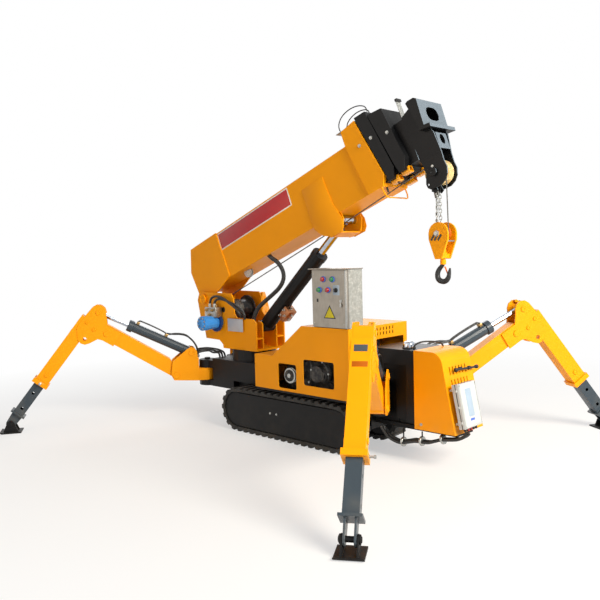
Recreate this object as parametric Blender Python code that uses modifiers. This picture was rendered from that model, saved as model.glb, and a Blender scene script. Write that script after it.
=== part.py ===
"""Spider crane on rubber tracks: a telescopic boom on a slewing post, four folding outriggers.

Frame: metres, +Z up, origin on the ground at the centre of the four feet. +X runs along the machine
to the power pack, the way the boom points; the turret end (-X) is the front, and -Y is the left side.
"""

import math

import bmesh
import bpy
from mathutils import Matrix, Vector

# Running clearances
SEAT_GAP = 0.0003
PIN_GAP = 0.0003
SLIDE_GAP = 0.0005
PIN_SIDES = 8
BIG_PIN_SIDES = 12
EYE_SIDES = 10
BARREL_SIDES = 14
BORE_SIDES = 8
SHEAVE_SIDES = 18
WHEEL_SIDES = 16
FLAT_ANGLE = 0.0005  # radians between faces that count as one

# Main frame and running gear
FRAME_HALF_WIDTH = 0.165
FRAME_BOTTOM = 0.20
DECK_TOP = 0.478
DECK_THICKNESS = 0.022
DECK_HALF_WIDTH = 0.40
NOSE_FRONT = -1.02
NOSE_HALF_WIDTH = 0.235
NOSE_TOP = 0.65
TAIL_REAR = 1.86
TRACK_OUTER_FACE = 0.413
TRACK_WIDTH = 0.23
TRACK_RADIUS = 0.215
TRACK_BAND = 0.022
GROUSER_HEIGHT = 0.018
IDLER_X = -0.46
SPROCKET_X = 0.835
SHOE_COUNT = 44
ROLLER_RADIUS = 0.045
ROLLER_COUNT = 5

# Outriggers: the swing pins and, in each leg's own plane, radius and height of its pins
SWING_PIN_X = 1.163
SWING_PIN_Y = 0.19
LEG_AZIMUTH = 57.5
SWING_PIN_RADIUS = 0.030
LUG_RADIUS = 0.088
LOWER_LUG = (0.355, 0.412)
UPPER_LUG = (0.543, 0.625)
ROOT_PIN = (0.341, 0.481)
CYLINDER_PIN = (0.175, 0.709)
ROD_PIN = (1.100, 1.175)
KNEE_PIN = (1.030, 0.958)
ANKLE_PIN = (2.000, 0.092)
INNER_ARM_ANGLE = 32.5
INNER_ARM_DEPTH = 0.148
INNER_ARM_WIDTH = 0.118
INNER_ARM_RISE = 0.043
OUTER_ARM_ANGLE = -52.3
OUTER_ARM_SIZE = 0.136
OUTER_ARM_TOP = 1.300
COLLAR_END = 0.477
COLLAR_LENGTH = 0.045
COLLAR_SIZE = 0.166
TUBE_SIZE = 0.105
TUBE_WALL = 0.010
TUBE_TOP = 0.900
LEG_PLATE = 0.014
GLAND_LENGTH = 0.055
LEG_BARREL_RADIUS = 0.050
LEG_BARREL_LENGTH = 0.712
LEG_ROD_LENGTH = 0.7255
LEG_SPARE_STROKE = 0.225
LEG_ROD_RADIUS = 0.024
LEG_PIN_RADIUS = 0.020
LEG_EYE_WIDTH = 0.106
FOOT_LENGTH = 0.205
FOOT_WIDTH = 0.185
FOOT_PLATE = 0.015

# Power pack
HOOD_HALF_WIDTH = 0.413
HOOD_SHEET = 0.006
HOOD_FRONT = -0.161
HOOD_STEP_TOP = 0.79
HOOD_SLANT_START = 0.08
HOOD_SLANT_END = 0.462
HOOD_TOP = 1.088
HOOD_REAR = 1.012
HOOD_REAR_BOTTOM = 0.965
TANK_HALF_WIDTH = 0.205
TANK_TOP = 0.925
TANK_STEP_X = 1.287
TANK_STEP_Z = 0.66
TANK_FRONT = 1.10
TANK_BOTTOM = 0.33
TANK_WAIST = 0.135
TANK_WAIST_END = 1.44
TANK_WAIST_TOP = 0.80
FILLER_PLACE = (1.40, -0.10)
HOUSING_FRONT = 1.52
HOUSING_BOTTOM = 0.29
HOUSING_FOOT_X = 1.90
HOUSING_SLOPE = 11.5
HOUSING_CORNER = 0.105
HOUSING_HALF_WIDTH = 0.21
BOX_SIZE = (0.40, 0.20, 0.50)
BOX_SHEET = 0.006

# Slewing post, winch and boom
SLEW_X = -0.62
SLEW_RING_RADIUS = 0.225
TURRET_BASE = 0.765
TURRET_PLATE = 0.016
TURRET_HALF_WIDTH = 0.200
BOOM_PIVOT = (-1.17, 1.265)
BOOM_PIN_RADIUS = 0.035
BOOM_ANGLE = 21.0
DERRICK_PIN = (-0.43, 1.005)
DERRICK_LUG = (1.981, 0.046)
DERRICK_PIN_RADIUS = 0.030
DERRICK_BARREL_RADIUS = 0.074
DERRICK_BARREL_LENGTH = 1.052
DERRICK_ROD_RADIUS = 0.040
DERRICK_ROD_LENGTH = 1.25
DERRICK_SPARE_STROKE = 0.155
WINCH_AXIS = (-0.86, 1.165)
WINCH_DRUM_RADIUS = 0.092
WINCH_FLANGE_RADIUS = 0.135
FLANGE_OUTER = 0.135
FLANGE_INNER = 0.123
DRUM_SHAFT_RADIUS = 0.030
MOTOR_AXIS = (-0.95, 1.035)
MOTOR_RADIUS = 0.075
MOTOR_LENGTH = 0.21
BOOM_WALL = 0.008
SHEAVE_AXIS = (3.02, 0.0)
SHEAVE_RADIUS = 0.10
SHEAVE_AXLE_RADIUS = 0.022
SHEAVE_GROOVE = 0.031
GROOVE_DEPTH = 0.022
HEAD_HALF_WIDTH = 0.112
HEAD_PLATE = 0.012
HEAD_PINCH = 0.034
HEAD_FACE = 0.178
ROPE_RADIUS = 0.005
BLOCK_X = 1.6745
BLOCK_SHEAVE_Z = 1.862
BLOCK_SHEAVE_RADIUS = 0.066
BLOCK_GROOVE_DEPTH = 0.018
BLOCK_AXLE_RADIUS = 0.018

YELLOW = ((0.90, 0.50, 0.01), 0.35, 0.1)
BLACK = ((0.015, 0.015, 0.017), 0.5, 0.2)
RUBBER = ((0.02, 0.02, 0.02), 0.85, 0.0)
SLATE = ((0.10, 0.13, 0.16), 0.4, 0.3)
CHROME = ((0.75, 0.77, 0.80), 0.12, 1.0)
STEEL = ((0.52, 0.51, 0.48), 0.4, 0.9)
BLUE = ((0.05, 0.30, 0.75), 0.4, 0.2)
CREAM = ((0.75, 0.62, 0.42), 0.5, 0.0)
GREY = ((0.70, 0.71, 0.72), 0.45, 0.0)

PARTS = None
TOOLS = None


# Shape helpers

def start_scene():
    global PARTS, TOOLS
    for old in list(bpy.data.objects):
        bpy.data.objects.remove(old, do_unlink=True)
    PARTS = bpy.data.collections.new("spider_crane")
    TOOLS = bpy.data.collections.new("cutters")
    for group in (PARTS, TOOLS):
        bpy.context.scene.collection.children.link(group)


def tool_object(mesh):
    piece = bpy.data.objects.new("tool", mesh)
    TOOLS.objects.link(piece)
    piece.hide_render = True
    piece.display_type = "WIRE"
    return piece


def from_bmesh(shape):
    mesh = bpy.data.meshes.new("shape")
    shape.to_mesh(mesh)
    shape.free()
    return tool_object(mesh)


def box(low, high):
    """A block between two opposite corners."""
    shape = bmesh.new()
    bmesh.ops.create_cube(shape, size=1.0)
    low, high = Vector(low), Vector(high)
    bmesh.ops.scale(shape, vec=high - low, verts=shape.verts)
    bmesh.ops.translate(shape, vec=(low + high) / 2, verts=shape.verts)
    return from_bmesh(shape)


def rod(start, end, radius, sides=16, end_radius=None, phase=0.0):
    """A round bar or cone from start to end, its corners turned by phase."""
    start, end = Vector(start), Vector(end)
    far = radius if end_radius is None else end_radius
    shape = bmesh.new()
    bmesh.ops.create_cone(shape, cap_ends=True, segments=sides, radius1=radius, radius2=far,
                          depth=(end - start).length)
    turn = (end - start).to_track_quat("Z", "Y").to_matrix().to_4x4() @ Matrix.Rotation(phase, 4, "Z")
    bmesh.ops.transform(shape, matrix=Matrix.Translation((start + end) / 2) @ turn, verts=shape.verts)
    return from_bmesh(shape)


def cross_rod(point, half_length, radius, sides=PIN_SIDES):
    """A round bar across the plane of a leg or of the boom, through a point of that plane."""
    x, z = point
    return rod((x, -half_length, z), (x, half_length, z), radius, sides)


def arc(centre, radius, start, end, steps=6):
    angles = [math.radians(start + (end - start) * i / steps) for i in range(steps + 1)]
    return [(centre[0] + radius * math.cos(a), centre[1] + radius * math.sin(a)) for a in angles]


def rounded(corners, radius, steps=3):
    """The outline of a polygon with its corners rounded."""
    outline = []
    count = len(corners)
    for i, corner in enumerate(corners):
        here = Vector(corner)
        back = (Vector(corners[i - 1]) - here).normalized()
        ahead = (Vector(corners[(i + 1) % count]) - here).normalized()
        half = back.angle(ahead) / 2
        reach = radius / math.tan(half)
        centre = here + (back + ahead).normalized() * radius / math.sin(half)
        first = here + back * reach - centre
        turn = first.angle_signed(here + ahead * reach - centre)
        for k in range(steps + 1):
            spoke = first.copy()
            spoke.rotate(Matrix.Rotation(-turn * k / steps, 2))
            outline.append(tuple(centre + spoke))
    return outline


def rectangle(low, high):
    return [(low[0], low[1]), (high[0], low[1]), (high[0], high[1]), (low[0], high[1])]


def circle(centre, radius, steps=PIN_SIDES):
    return arc(centre, radius, 0, 360 - 360 / steps, steps - 1)


def bore_radius(radius, sides=PIN_SIDES):
    """The corner radius of a bore whose flats clear a turning pin."""
    return (radius + PIN_GAP) / math.cos(math.pi / sides)


def bore_along(start, end, radius, sides=PIN_SIDES):
    """The cutter of a bore for a pin of that radius, its flats opposite the pin's corners."""
    return rod(start, end, bore_radius(radius, sides), sides, phase=math.pi / sides)


def cross_bore(point, half_length, radius, sides=PIN_SIDES):
    x, z = point
    return bore_along((x, -half_length, z), (x, half_length, z), radius, sides)


def bore_outline(centre, radius, sides=PIN_SIDES):
    half_step = 180 / sides
    return arc(centre, bore_radius(radius, sides), half_step, 360 - half_step, sides - 1)


PLANES = {
    "xy": Matrix.Identity(4),
    "xz": Matrix(((1, 0, 0, 0), (0, 0, -1, 0), (0, 1, 0, 0), (0, 0, 0, 1))),
    "yz": Matrix(((0, 0, 1, 0), (1, 0, 0, 0), (0, 1, 0, 0), (0, 0, 0, 1))),
}
NORMALS = {"xy": Vector((0, 0, 1)), "xz": Vector((0, 1, 0)), "yz": Vector((1, 0, 0))}


def plate(outline, low, high, plane="xz", holes=()):
    """A flat outline, with its holes, made thick between two offsets along its normal."""
    curve = bpy.data.curves.new("outline", "CURVE")
    curve.dimensions = "2D"
    curve.fill_mode = "BOTH"
    curve.extrude = (high - low) / 2
    for loop in (outline, *holes):
        spline = curve.splines.new("POLY")
        spline.points.add(len(loop) - 1)
        for point, (a, b) in zip(spline.points, loop):
            point.co = (a, b, 0, 1)
        spline.use_cyclic_u = True
    source = bpy.data.objects.new("outline", curve)
    TOOLS.objects.link(source)
    source.matrix_world = Matrix.Translation(NORMALS[plane] * (low + high) / 2) @ PLANES[plane]
    return solid_from(source)


def tube_along(points, radius, resolution=2):
    """A round wire through points, its ends capped."""
    curve = bpy.data.curves.new("wire", "CURVE")
    curve.dimensions = "3D"
    curve.bevel_depth = radius
    curve.bevel_resolution = resolution
    curve.use_fill_caps = True
    spline = curve.splines.new("POLY")
    spline.points.add(len(points) - 1)
    for point, place in zip(spline.points, points):
        point.co = (*place, 1)
    source = bpy.data.objects.new("wire", curve)
    TOOLS.objects.link(source)
    return solid_from(source)


def solid_from(source):
    """The welded mesh of a curve or modified object, in its place."""
    bpy.context.view_layer.update()
    graph = bpy.context.evaluated_depsgraph_get()
    mesh = bpy.data.meshes.new_from_object(source.evaluated_get(graph))
    mesh.transform(source.matrix_world)
    bpy.data.objects.remove(source, do_unlink=True)
    shape = bmesh.new()
    shape.from_mesh(mesh)
    bmesh.ops.remove_doubles(shape, verts=shape.verts, dist=0.00001)
    bmesh.ops.recalc_face_normals(shape, faces=shape.faces)
    shape.to_mesh(mesh)
    shape.free()
    return tool_object(mesh)


def combine(target, operation, others):
    """Unite target with the others, or cut them from it, and use them up."""
    for other in others:
        change = target.modifiers.new("change", "BOOLEAN")
        change.operation = operation
        change.solver = "EXACT"
        change.object = other
    result = solid_from(target)
    for other in others:
        bpy.data.objects.remove(other, do_unlink=True)
    return result


def unite(first, *others):
    return combine(first, "UNION", others)


def cut(first, *others):
    return combine(first, "DIFFERENCE", others)


def turned(profile, centre, steps):
    """A closed profile of (radius, offset along Y) turned about an axis along Y."""
    shape = bmesh.new()
    points = [shape.verts.new((radius, offset, 0)) for radius, offset in profile]
    for a, b in zip(points, points[1:]):
        shape.edges.new((a, b))
    source = from_bmesh(shape)
    spin = source.modifiers.new("turn", "SCREW")
    spin.axis = "Y"
    spin.steps = steps
    spin.render_steps = steps
    spin.use_merge_vertices = True
    spin.merge_threshold = 0.00001
    spin.use_normal_calculate = True
    source.matrix_world = Matrix.Translation((centre[0], 0, centre[1]))
    return solid_from(source)


def turned_ring(profile, centre, steps):
    """A ring profile that doesn't reach its axis, turned about an axis along Y."""
    return turned([*profile, profile[0]], centre, steps)


def lay_on_boom(piece):
    """Move a piece from boom coordinates (along, across, up) to its place on the boom."""
    turn = Matrix.Rotation(-math.radians(BOOM_ANGLE), 4, "Y")
    piece.data.transform(Matrix.Translation((BOOM_PIVOT[0], 0, BOOM_PIVOT[1])) @ turn)
    return piece


def boom_point(along, up):
    turn = math.radians(BOOM_ANGLE)
    return (BOOM_PIVOT[0] + along * math.cos(turn) - up * math.sin(turn),
            BOOM_PIVOT[1] + along * math.sin(turn) + up * math.cos(turn))


def along_line(start, angle, distance, offset=0.0):
    """A point at a distance along a line of the XZ plane, and at an offset to its left."""
    turn = math.radians(angle)
    return (start[0] + distance * math.cos(turn) - offset * math.sin(turn),
            start[1] + distance * math.sin(turn) + offset * math.cos(turn))


def slanted_block(start, angle, span, offset, half_width):
    """A block along a line of the XZ plane: span along it, offsets to its left, width across."""
    corners = [along_line(start, angle, d, o)
               for d, o in ((span[0], offset[0]), (span[1], offset[0]),
                            (span[1], offset[1]), (span[0], offset[1]))]
    return plate(corners, -half_width, half_width)


def merge_flat_faces(mesh):
    shape = bmesh.new()
    shape.from_mesh(mesh)
    bmesh.ops.dissolve_limit(shape, angle_limit=FLAT_ANGLE, verts=shape.verts, edges=shape.edges)
    shape.to_mesh(mesh)
    shape.free()


def keep(piece, name, finish, origin=(0, 0, 0), parent=None):
    """Make a finished piece a part: named, painted, smooth where round, its origin on its joint."""
    merge_flat_faces(piece.data)
    piece.data.transform(Matrix.Translation(-Vector(origin)))
    piece.name = name
    piece.data.name = name
    piece.location = origin
    piece.parent = parent
    piece.hide_render = False
    piece.display_type = "TEXTURED"
    TOOLS.objects.unlink(piece)
    PARTS.objects.link(piece)
    colour, roughness, metallic = finish
    material = bpy.data.materials.new(name)
    material.use_nodes = True
    surface = material.node_tree.nodes["Principled BSDF"]
    surface.inputs["Base Color"].default_value = (*colour, 1)
    surface.inputs["Roughness"].default_value = roughness
    surface.inputs["Metallic"].default_value = metallic
    piece.data.materials.clear()
    piece.data.materials.append(material)
    piece.data.shade_smooth()
    piece.data.set_sharp_from_angle(angle=math.radians(35))
    return piece


# Outriggers, built once in a leg's own frame: X outwards from the swing pin, Y across, Z up

def build_swing_bracket():
    half = 0.078
    cheek = [(0.085, 0.455), (0.10, LOWER_LUG[1] + SEAT_GAP), (0.362, 0.430), (0.392, 0.485),
             (0.372, 0.630), *arc(CYLINDER_PIN, 0.062, 40, 165, 3), (0.105, 0.60)]
    cheeks = [plate(cheek, side * half - LEG_PLATE / 2, side * half + LEG_PLATE / 2)
              for side in (-1, 1)]
    fork_outline = [*arc((0, 0), 0.075, 90, 270, 6), (0.14, -half), (0.14, half)]
    fork = plate(fork_outline, LOWER_LUG[1] + SEAT_GAP, UPPER_LUG[0] - SEAT_GAP, "xy")
    back = box((0.098, -half, 0.50), (0.112, half, 0.655))
    floor = box((0.13, -half, LOWER_LUG[1] + 0.014), (0.30, half, LOWER_LUG[1] + 0.028))
    pins = [cross_rod(pin, half + LEG_PLATE, LEG_PIN_RADIUS) for pin in (ROOT_PIN, CYLINDER_PIN)]
    bracket = unite(fork, *cheeks, back, floor, *pins)
    bore = bore_along((0, 0, LOWER_LUG[0]), (0, 0, UPPER_LUG[1]), SWING_PIN_RADIUS, EYE_SIDES)
    return cut(bracket, bore)


def build_inner_arm():
    low = INNER_ARM_RISE - INNER_ARM_DEPTH / 2
    high = INNER_ARM_RISE + INNER_ARM_DEPTH / 2
    reach = math.dist(ROOT_PIN, KNEE_PIN)
    side = [along_line(ROOT_PIN, INNER_ARM_ANGLE, d, o)
            for d, o in ((0.04, low), (reach + 0.02, low), (reach + 0.075, low + 0.05),
                         (reach + 0.075, high - 0.03), (reach + 0.04, high), (0.14, high), (0.02, 0.05))]
    beam = plate(side, -INNER_ARM_WIDTH / 2, INNER_ARM_WIDTH / 2)
    boss = cross_rod(ROOT_PIN, INNER_ARM_WIDTH / 2, 0.042)
    arm = unite(beam, boss)
    knee_pin = cross_rod(KNEE_PIN, INNER_ARM_WIDTH / 2 + LEG_PLATE + 0.012, LEG_PIN_RADIUS)
    arm = unite(arm, knee_pin)
    return cut(arm, cross_bore(ROOT_PIN, 0.2, LEG_PIN_RADIUS))


def build_outer_arm():
    inner = INNER_ARM_WIDTH / 2 + 0.003
    outline = [along_line(KNEE_PIN, INNER_ARM_ANGLE, -0.125, 0.075),
               along_line(KNEE_PIN, INNER_ARM_ANGLE, 0.03, 0.075),
               (1.024, 1.150), *arc(ROD_PIN, 0.080, 180, 45, 4),
               (1.225, 1.155), (1.320, 1.030),
               *arc((1.242, 0.930), 0.075, 15, -120, 4),
               (1.118, 0.905), along_line(KNEE_PIN, INNER_ARM_ANGLE, 0.0, -0.080),
               along_line(KNEE_PIN, INNER_ARM_ANGLE, -0.125, -0.080)]
    lock_hole = circle((1.247, 0.913), 0.021, 6)
    pin_hole = bore_outline(KNEE_PIN, LEG_PIN_RADIUS)
    plates = [plate(outline, *sorted((side * inner, side * (inner + LEG_PLATE))),
                    holes=(lock_hole, pin_hole)) for side in (-1, 1)]
    half = OUTER_ARM_SIZE / 2
    beam = slanted_block(ANKLE_PIN, OUTER_ARM_ANGLE, (-OUTER_ARM_TOP, -COLLAR_END + 0.001),
                         (-half, half), half)
    collar = slanted_block(ANKLE_PIN, OUTER_ARM_ANGLE, (-COLLAR_END - COLLAR_LENGTH, -COLLAR_END),
                           (-COLLAR_SIZE / 2, COLLAR_SIZE / 2), COLLAR_SIZE / 2)
    cover_line = [(1.080, 1.2530), (1.160, 1.2300), (1.2300, 1.150), (1.235, 1.135),
                  (1.222, 1.145), (1.150, 1.215), (1.080, 1.2370)]
    cover = plate(cover_line, -inner - 0.002, inner + 0.002)
    window = slanted_block((1.12, 1.24), -18, (-0.05, 0.02), (-0.08, 0.08), 0.032)
    cover = cut(cover, window)
    arm = unite(beam, collar, *plates)
    arm = unite(arm, cover)
    bore = slanted_block(ANKLE_PIN, OUTER_ARM_ANGLE, (-OUTER_ARM_TOP + 0.05, -COLLAR_END + 0.02),
                         (-TUBE_SIZE / 2 - SLIDE_GAP, TUBE_SIZE / 2 + SLIDE_GAP),
                         TUBE_SIZE / 2 + SLIDE_GAP)
    return cut(arm, bore)


def build_extension():
    half = TUBE_SIZE / 2
    tube = slanted_block(ANKLE_PIN, OUTER_ARM_ANGLE, (-TUBE_TOP, -0.120), (-half, half), half)
    hollow = slanted_block(ANKLE_PIN, OUTER_ARM_ANGLE, (-TUBE_TOP - 0.01, -0.14),
                           (TUBE_WALL - half, half - TUBE_WALL), half - TUBE_WALL)
    flange = slanted_block(ANKLE_PIN, OUTER_ARM_ANGLE, (-0.130, -0.112), (-0.075, 0.075), 0.075)
    ear = [along_line(ANKLE_PIN, OUTER_ARM_ANGLE, d, o) for d, o in ((-0.118, 0.055), (-0.118, -0.055))]
    lower = arc(ANKLE_PIN, 0.045, OUTER_ARM_ANGLE - 75, OUTER_ARM_ANGLE + 75, 5)
    ears = [plate([*ear, *lower], *sorted((side * 0.026, side * 0.040))) for side in (-1, 1)]
    body = unite(tube, flange, *ears)
    pins = [along_line(ANKLE_PIN, OUTER_ARM_ANGLE, d) for d in (-0.375, -0.19)]
    holes = [cross_rod(point, 0.2, 0.016, 8) for point in pins]
    return cut(body, hollow, *holes, cross_bore(ANKLE_PIN, 0.2, LEG_PIN_RADIUS))


def build_foot():
    x, z = ANKLE_PIN
    outline = [(x - FOOT_LENGTH / 2, 0.0), (x + FOOT_LENGTH / 2 - 0.02, 0.0),
               (x + FOOT_LENGTH / 2, 0.012), (x + FOOT_LENGTH / 2, FOOT_PLATE + 0.006),
               (x + FOOT_LENGTH / 2 - 0.025, FOOT_PLATE), (x - FOOT_LENGTH / 2, FOOT_PLATE)]
    pad = plate(outline, -FOOT_WIDTH / 2, FOOT_WIDTH / 2)
    cheek = [(x - 0.075, 0.008), (x + 0.075, 0.008), *arc(ANKLE_PIN, 0.034, 20, 160, 4)]
    cheeks = [plate(cheek, *sorted((side * 0.0425, side * 0.0545))) for side in (-1, 1)]
    pin = cross_rod(ANKLE_PIN, 0.070, LEG_PIN_RADIUS)
    return unite(pad, *cheeks, pin)


def leg_cylinder_angle():
    return math.degrees(math.atan2(ROD_PIN[1] - CYLINDER_PIN[1], ROD_PIN[0] - CYLINDER_PIN[0]))


def leg_rod_start():
    """How far from the barrel's pin the rod's inner end lies."""
    return math.dist(CYLINDER_PIN, ROD_PIN) - LEG_ROD_LENGTH


def build_barrel(pin, angle, length, radius, rod_radius, bottom, eye_width, pin_radius):
    """A cylinder barrel from its base eye to its gland, bored for the rod from bottom on."""
    def at(distance):
        x, z = along_line(pin, angle, distance)
        return (x, 0, z)
    tube = rod(at(radius * 0.6), at(length - GLAND_LENGTH / 2), radius, BARREL_SIDES)
    gland = rod(at(length - GLAND_LENGTH), at(length), radius + 0.006, BARREL_SIDES)
    eye = cross_rod(pin, eye_width / 2, radius * 0.82, EYE_SIDES)
    barrel = unite(tube, gland, eye)
    cuts = [rod(at(bottom), at(length + GLAND_LENGTH), rod_radius + SLIDE_GAP, BORE_SIDES)]
    if pin_radius:
        cuts.append(cross_bore(pin, eye_width, pin_radius))
    return cut(barrel, *cuts)


def build_leg_rod():
    angle = leg_cylinder_angle()
    start = along_line(CYLINDER_PIN, angle, leg_rod_start())
    end = along_line(ROD_PIN, angle, -0.01)
    bar = rod((start[0], 0, start[1]), (end[0], 0, end[1]), LEG_ROD_RADIUS, BORE_SIDES)
    eye = cross_rod(ROD_PIN, 0.030, 0.040, EYE_SIDES)
    pin = cross_rod(ROD_PIN, INNER_ARM_WIDTH / 2 - 0.001, LEG_PIN_RADIUS)
    return unite(bar, eye, pin)


LEGS = (
    # name, side along X, side along Y
    ("front_left", -1, -1),
    ("front_right", -1, 1),
    ("rear_left", 1, -1),
    ("rear_right", 1, 1),
)


def build_outriggers():
    angle = leg_cylinder_angle()
    barrel = build_barrel(CYLINDER_PIN, angle, LEG_BARREL_LENGTH, LEG_BARREL_RADIUS,
                          LEG_ROD_RADIUS, leg_rod_start() - LEG_SPARE_STROKE, LEG_EYE_WIDTH, LEG_PIN_RADIUS)
    pieces = (
        # piece, finish, origin in the leg's plane
        ("swing_bracket", build_swing_bracket(), YELLOW, (0, 0)),
        ("inner_arm", build_inner_arm(), YELLOW, ROOT_PIN),
        ("outer_arm", build_outer_arm(), YELLOW, KNEE_PIN),
        ("extension", build_extension(), SLATE, ANKLE_PIN),
        ("foot", build_foot(), SLATE, ANKLE_PIN),
        ("cylinder", barrel, SLATE, CYLINDER_PIN),
        ("cylinder_rod", build_leg_rod(), CHROME, ROD_PIN),
    )
    for leg, along, across in LEGS:
        frame = bpy.data.objects.new(leg + "_swing_axis", None)
        PARTS.objects.link(frame)
        direction = Vector((along * math.cos(math.radians(LEG_AZIMUTH)),
                            across * math.sin(math.radians(LEG_AZIMUTH))))
        frame.location = (along * SWING_PIN_X, across * SWING_PIN_Y, 0)
        frame.rotation_euler = (0, 0, math.atan2(direction.y, direction.x))
        for name, shape, finish, origin in pieces:
            copy = tool_object(shape.data.copy())
            keep(copy, f"{leg}_{name}", finish, (origin[0], 0, origin[1]), frame)
    for name, shape, finish, origin in pieces:
        bpy.data.objects.remove(shape, do_unlink=True)


# Running gear

def track_loop(radius, shoes=0, tooth=0.0):
    """Points round a track's loop; with shoes, each one stands out by tooth."""
    span = SPROCKET_X - IDLER_X
    total = 2 * span + 2 * math.pi * radius
    centre_z = TRACK_RADIUS

    def at(distance, rise):
        distance %= total
        r = radius + rise
        if distance < span:
            return (IDLER_X + distance, centre_z - r)
        distance -= span
        if distance < math.pi * radius:
            turn = -math.pi / 2 + distance / radius
            return (SPROCKET_X + r * math.cos(turn), centre_z + r * math.sin(turn))
        distance -= math.pi * radius
        if distance < span:
            return (SPROCKET_X - distance, centre_z + r)
        distance -= span
        turn = math.pi / 2 + distance / radius
        return (IDLER_X + r * math.cos(turn), centre_z + r * math.sin(turn))

    if not shoes:
        rear = arc((SPROCKET_X, centre_z), radius, -90, 90, WHEEL_SIDES // 2)
        front = arc((IDLER_X, centre_z), radius, 90, 270, WHEEL_SIDES // 2)
        return [*rear, *front]
    pitch = total / shoes
    points = []
    for i in range(shoes):
        start = i * pitch
        for share, rise in ((0.10, 0.0), (0.20, tooth), (0.62, tooth), (0.72, 0.0)):
            points.append(at(start + share * pitch, rise))
    return points


def build_track(side):
    outer = track_loop(TRACK_RADIUS - GROUSER_HEIGHT, SHOE_COUNT, GROUSER_HEIGHT)
    inner = track_loop(TRACK_RADIUS - GROUSER_HEIGHT - TRACK_BAND)
    far = side * TRACK_OUTER_FACE
    near = side * (TRACK_OUTER_FACE - TRACK_WIDTH)
    return plate(outer, *sorted((far, near)), holes=(inner,))


def build_track_frame(side):
    inner_radius = TRACK_RADIUS - GROUSER_HEIGHT - TRACK_BAND - SEAT_GAP
    outer = TRACK_OUTER_FACE - 0.012
    inner = TRACK_OUTER_FACE - TRACK_WIDTH + 0.006
    def across(a, b):
        return sorted((side * a, side * b))
    cover = plate(track_loop(inner_radius - 0.012), *across(outer, outer - 0.012))
    low, high = across(inner, outer - 0.006)
    beam = box((IDLER_X + 0.10, low, 0.125), (SPROCKET_X - 0.10, high, 0.300))
    low, high = across(inner + 0.02, outer - 0.006)
    wheels = [rod((x, low, TRACK_RADIUS), (x, high, TRACK_RADIUS), inner_radius, WHEEL_SIDES)
              for x in (IDLER_X, SPROCKET_X)]
    roller_z = TRACK_RADIUS - inner_radius + ROLLER_RADIUS
    step = (SPROCKET_X - IDLER_X - 0.40) / (ROLLER_COUNT - 1)
    rollers = []
    for i in range(ROLLER_COUNT):
        x = IDLER_X + 0.20 + i * step
        rollers.append(rod((x, low, roller_z), (x, high, roller_z), ROLLER_RADIUS, 6))
    return unite(beam, cover, *wheels, *rollers)


def build_main_frame():
    spine = box((-0.72, -FRAME_HALF_WIDTH, FRAME_BOTTOM), (1.04, FRAME_HALF_WIDTH, 0.47))
    deck = box((HOOD_FRONT + 0.01, -DECK_HALF_WIDTH, DECK_TOP - DECK_THICKNESS),
               (HOOD_REAR - 0.005, DECK_HALF_WIDTH, DECK_TOP))
    nose = box((NOSE_FRONT, -NOSE_HALF_WIDTH, 0.445), (HOOD_FRONT - SEAT_GAP, NOSE_HALF_WIDTH, NOSE_TOP))
    chin = box((NOSE_FRONT, -NOSE_HALF_WIDTH, LOWER_LUG[0]), (-0.69, NOSE_HALF_WIDTH, 0.46))
    rear_block = box((1.02, -0.095, 0.25), (TANK_STEP_X - SEAT_GAP, 0.095, 0.655))
    rear_cross = box((1.015, -NOSE_HALF_WIDTH, LOWER_LUG[0]), (1.075, NOSE_HALF_WIDTH, UPPER_LUG[1]))
    tail = box((1.10, -0.12, 0.255), (TAIL_REAR, 0.12, HOUSING_BOTTOM - SEAT_GAP))
    bolster = box((TANK_STEP_X + 0.01, -0.10, 0.27), (HOUSING_FRONT - 0.02, 0.10, TANK_BOTTOM - SEAT_GAP))
    ring = rod((SLEW_X, 0, NOSE_TOP - 0.01), (SLEW_X, 0, TURRET_BASE - SEAT_GAP), SLEW_RING_RADIUS,
               SHEAVE_SIDES)
    frame = unite(spine, deck, nose, chin, rear_block, rear_cross, tail, bolster, ring)
    inner = TRACK_OUTER_FACE - TRACK_WIDTH + 0.006 - SEAT_GAP
    arms = [box((x - 0.05, -inner, 0.22), (x + 0.05, inner, 0.29)) for x in (0.0, 0.42)]
    frame = unite(frame, *arms)
    for along in (-1, 1):
        for across in (-1, 1):
            x, y = along * SWING_PIN_X, across * SWING_PIN_Y
            root = along * (-NOSE_FRONT if along < 0 else 1.05)
            lugs = []
            for low, high in (LOWER_LUG, UPPER_LUG):
                web_x = sorted((x, root - along * 0.01))
                web_y = sorted((y + across * 0.045, y - across * 0.095))
                lugs.append(rod((x, y, low), (x, y, high), LUG_RADIUS, EYE_SIDES))
                lugs.append(box((web_x[0], web_y[0], low + 0.0005), (web_x[1], web_y[1], high - 0.0005)))
            pin = rod((x, y, LOWER_LUG[0] - 0.012), (x, y, UPPER_LUG[1] + 0.018), SWING_PIN_RADIUS,
                      EYE_SIDES)
            frame = unite(frame, *lugs)
            frame = unite(frame, pin)
    return frame


# Power pack

def hood_outline(inset):
    rise = math.atan2(HOOD_TOP - HOOD_STEP_TOP, HOOD_SLANT_END - HOOD_SLANT_START)
    shift = inset * math.tan(rise / 2)
    return [(HOOD_FRONT + inset, HOOD_STEP_TOP - inset),
            (HOOD_SLANT_START + shift, HOOD_STEP_TOP - inset),
            (HOOD_SLANT_END + shift, HOOD_TOP - inset),
            (HOOD_REAR - inset, HOOD_TOP - inset)]


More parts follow.
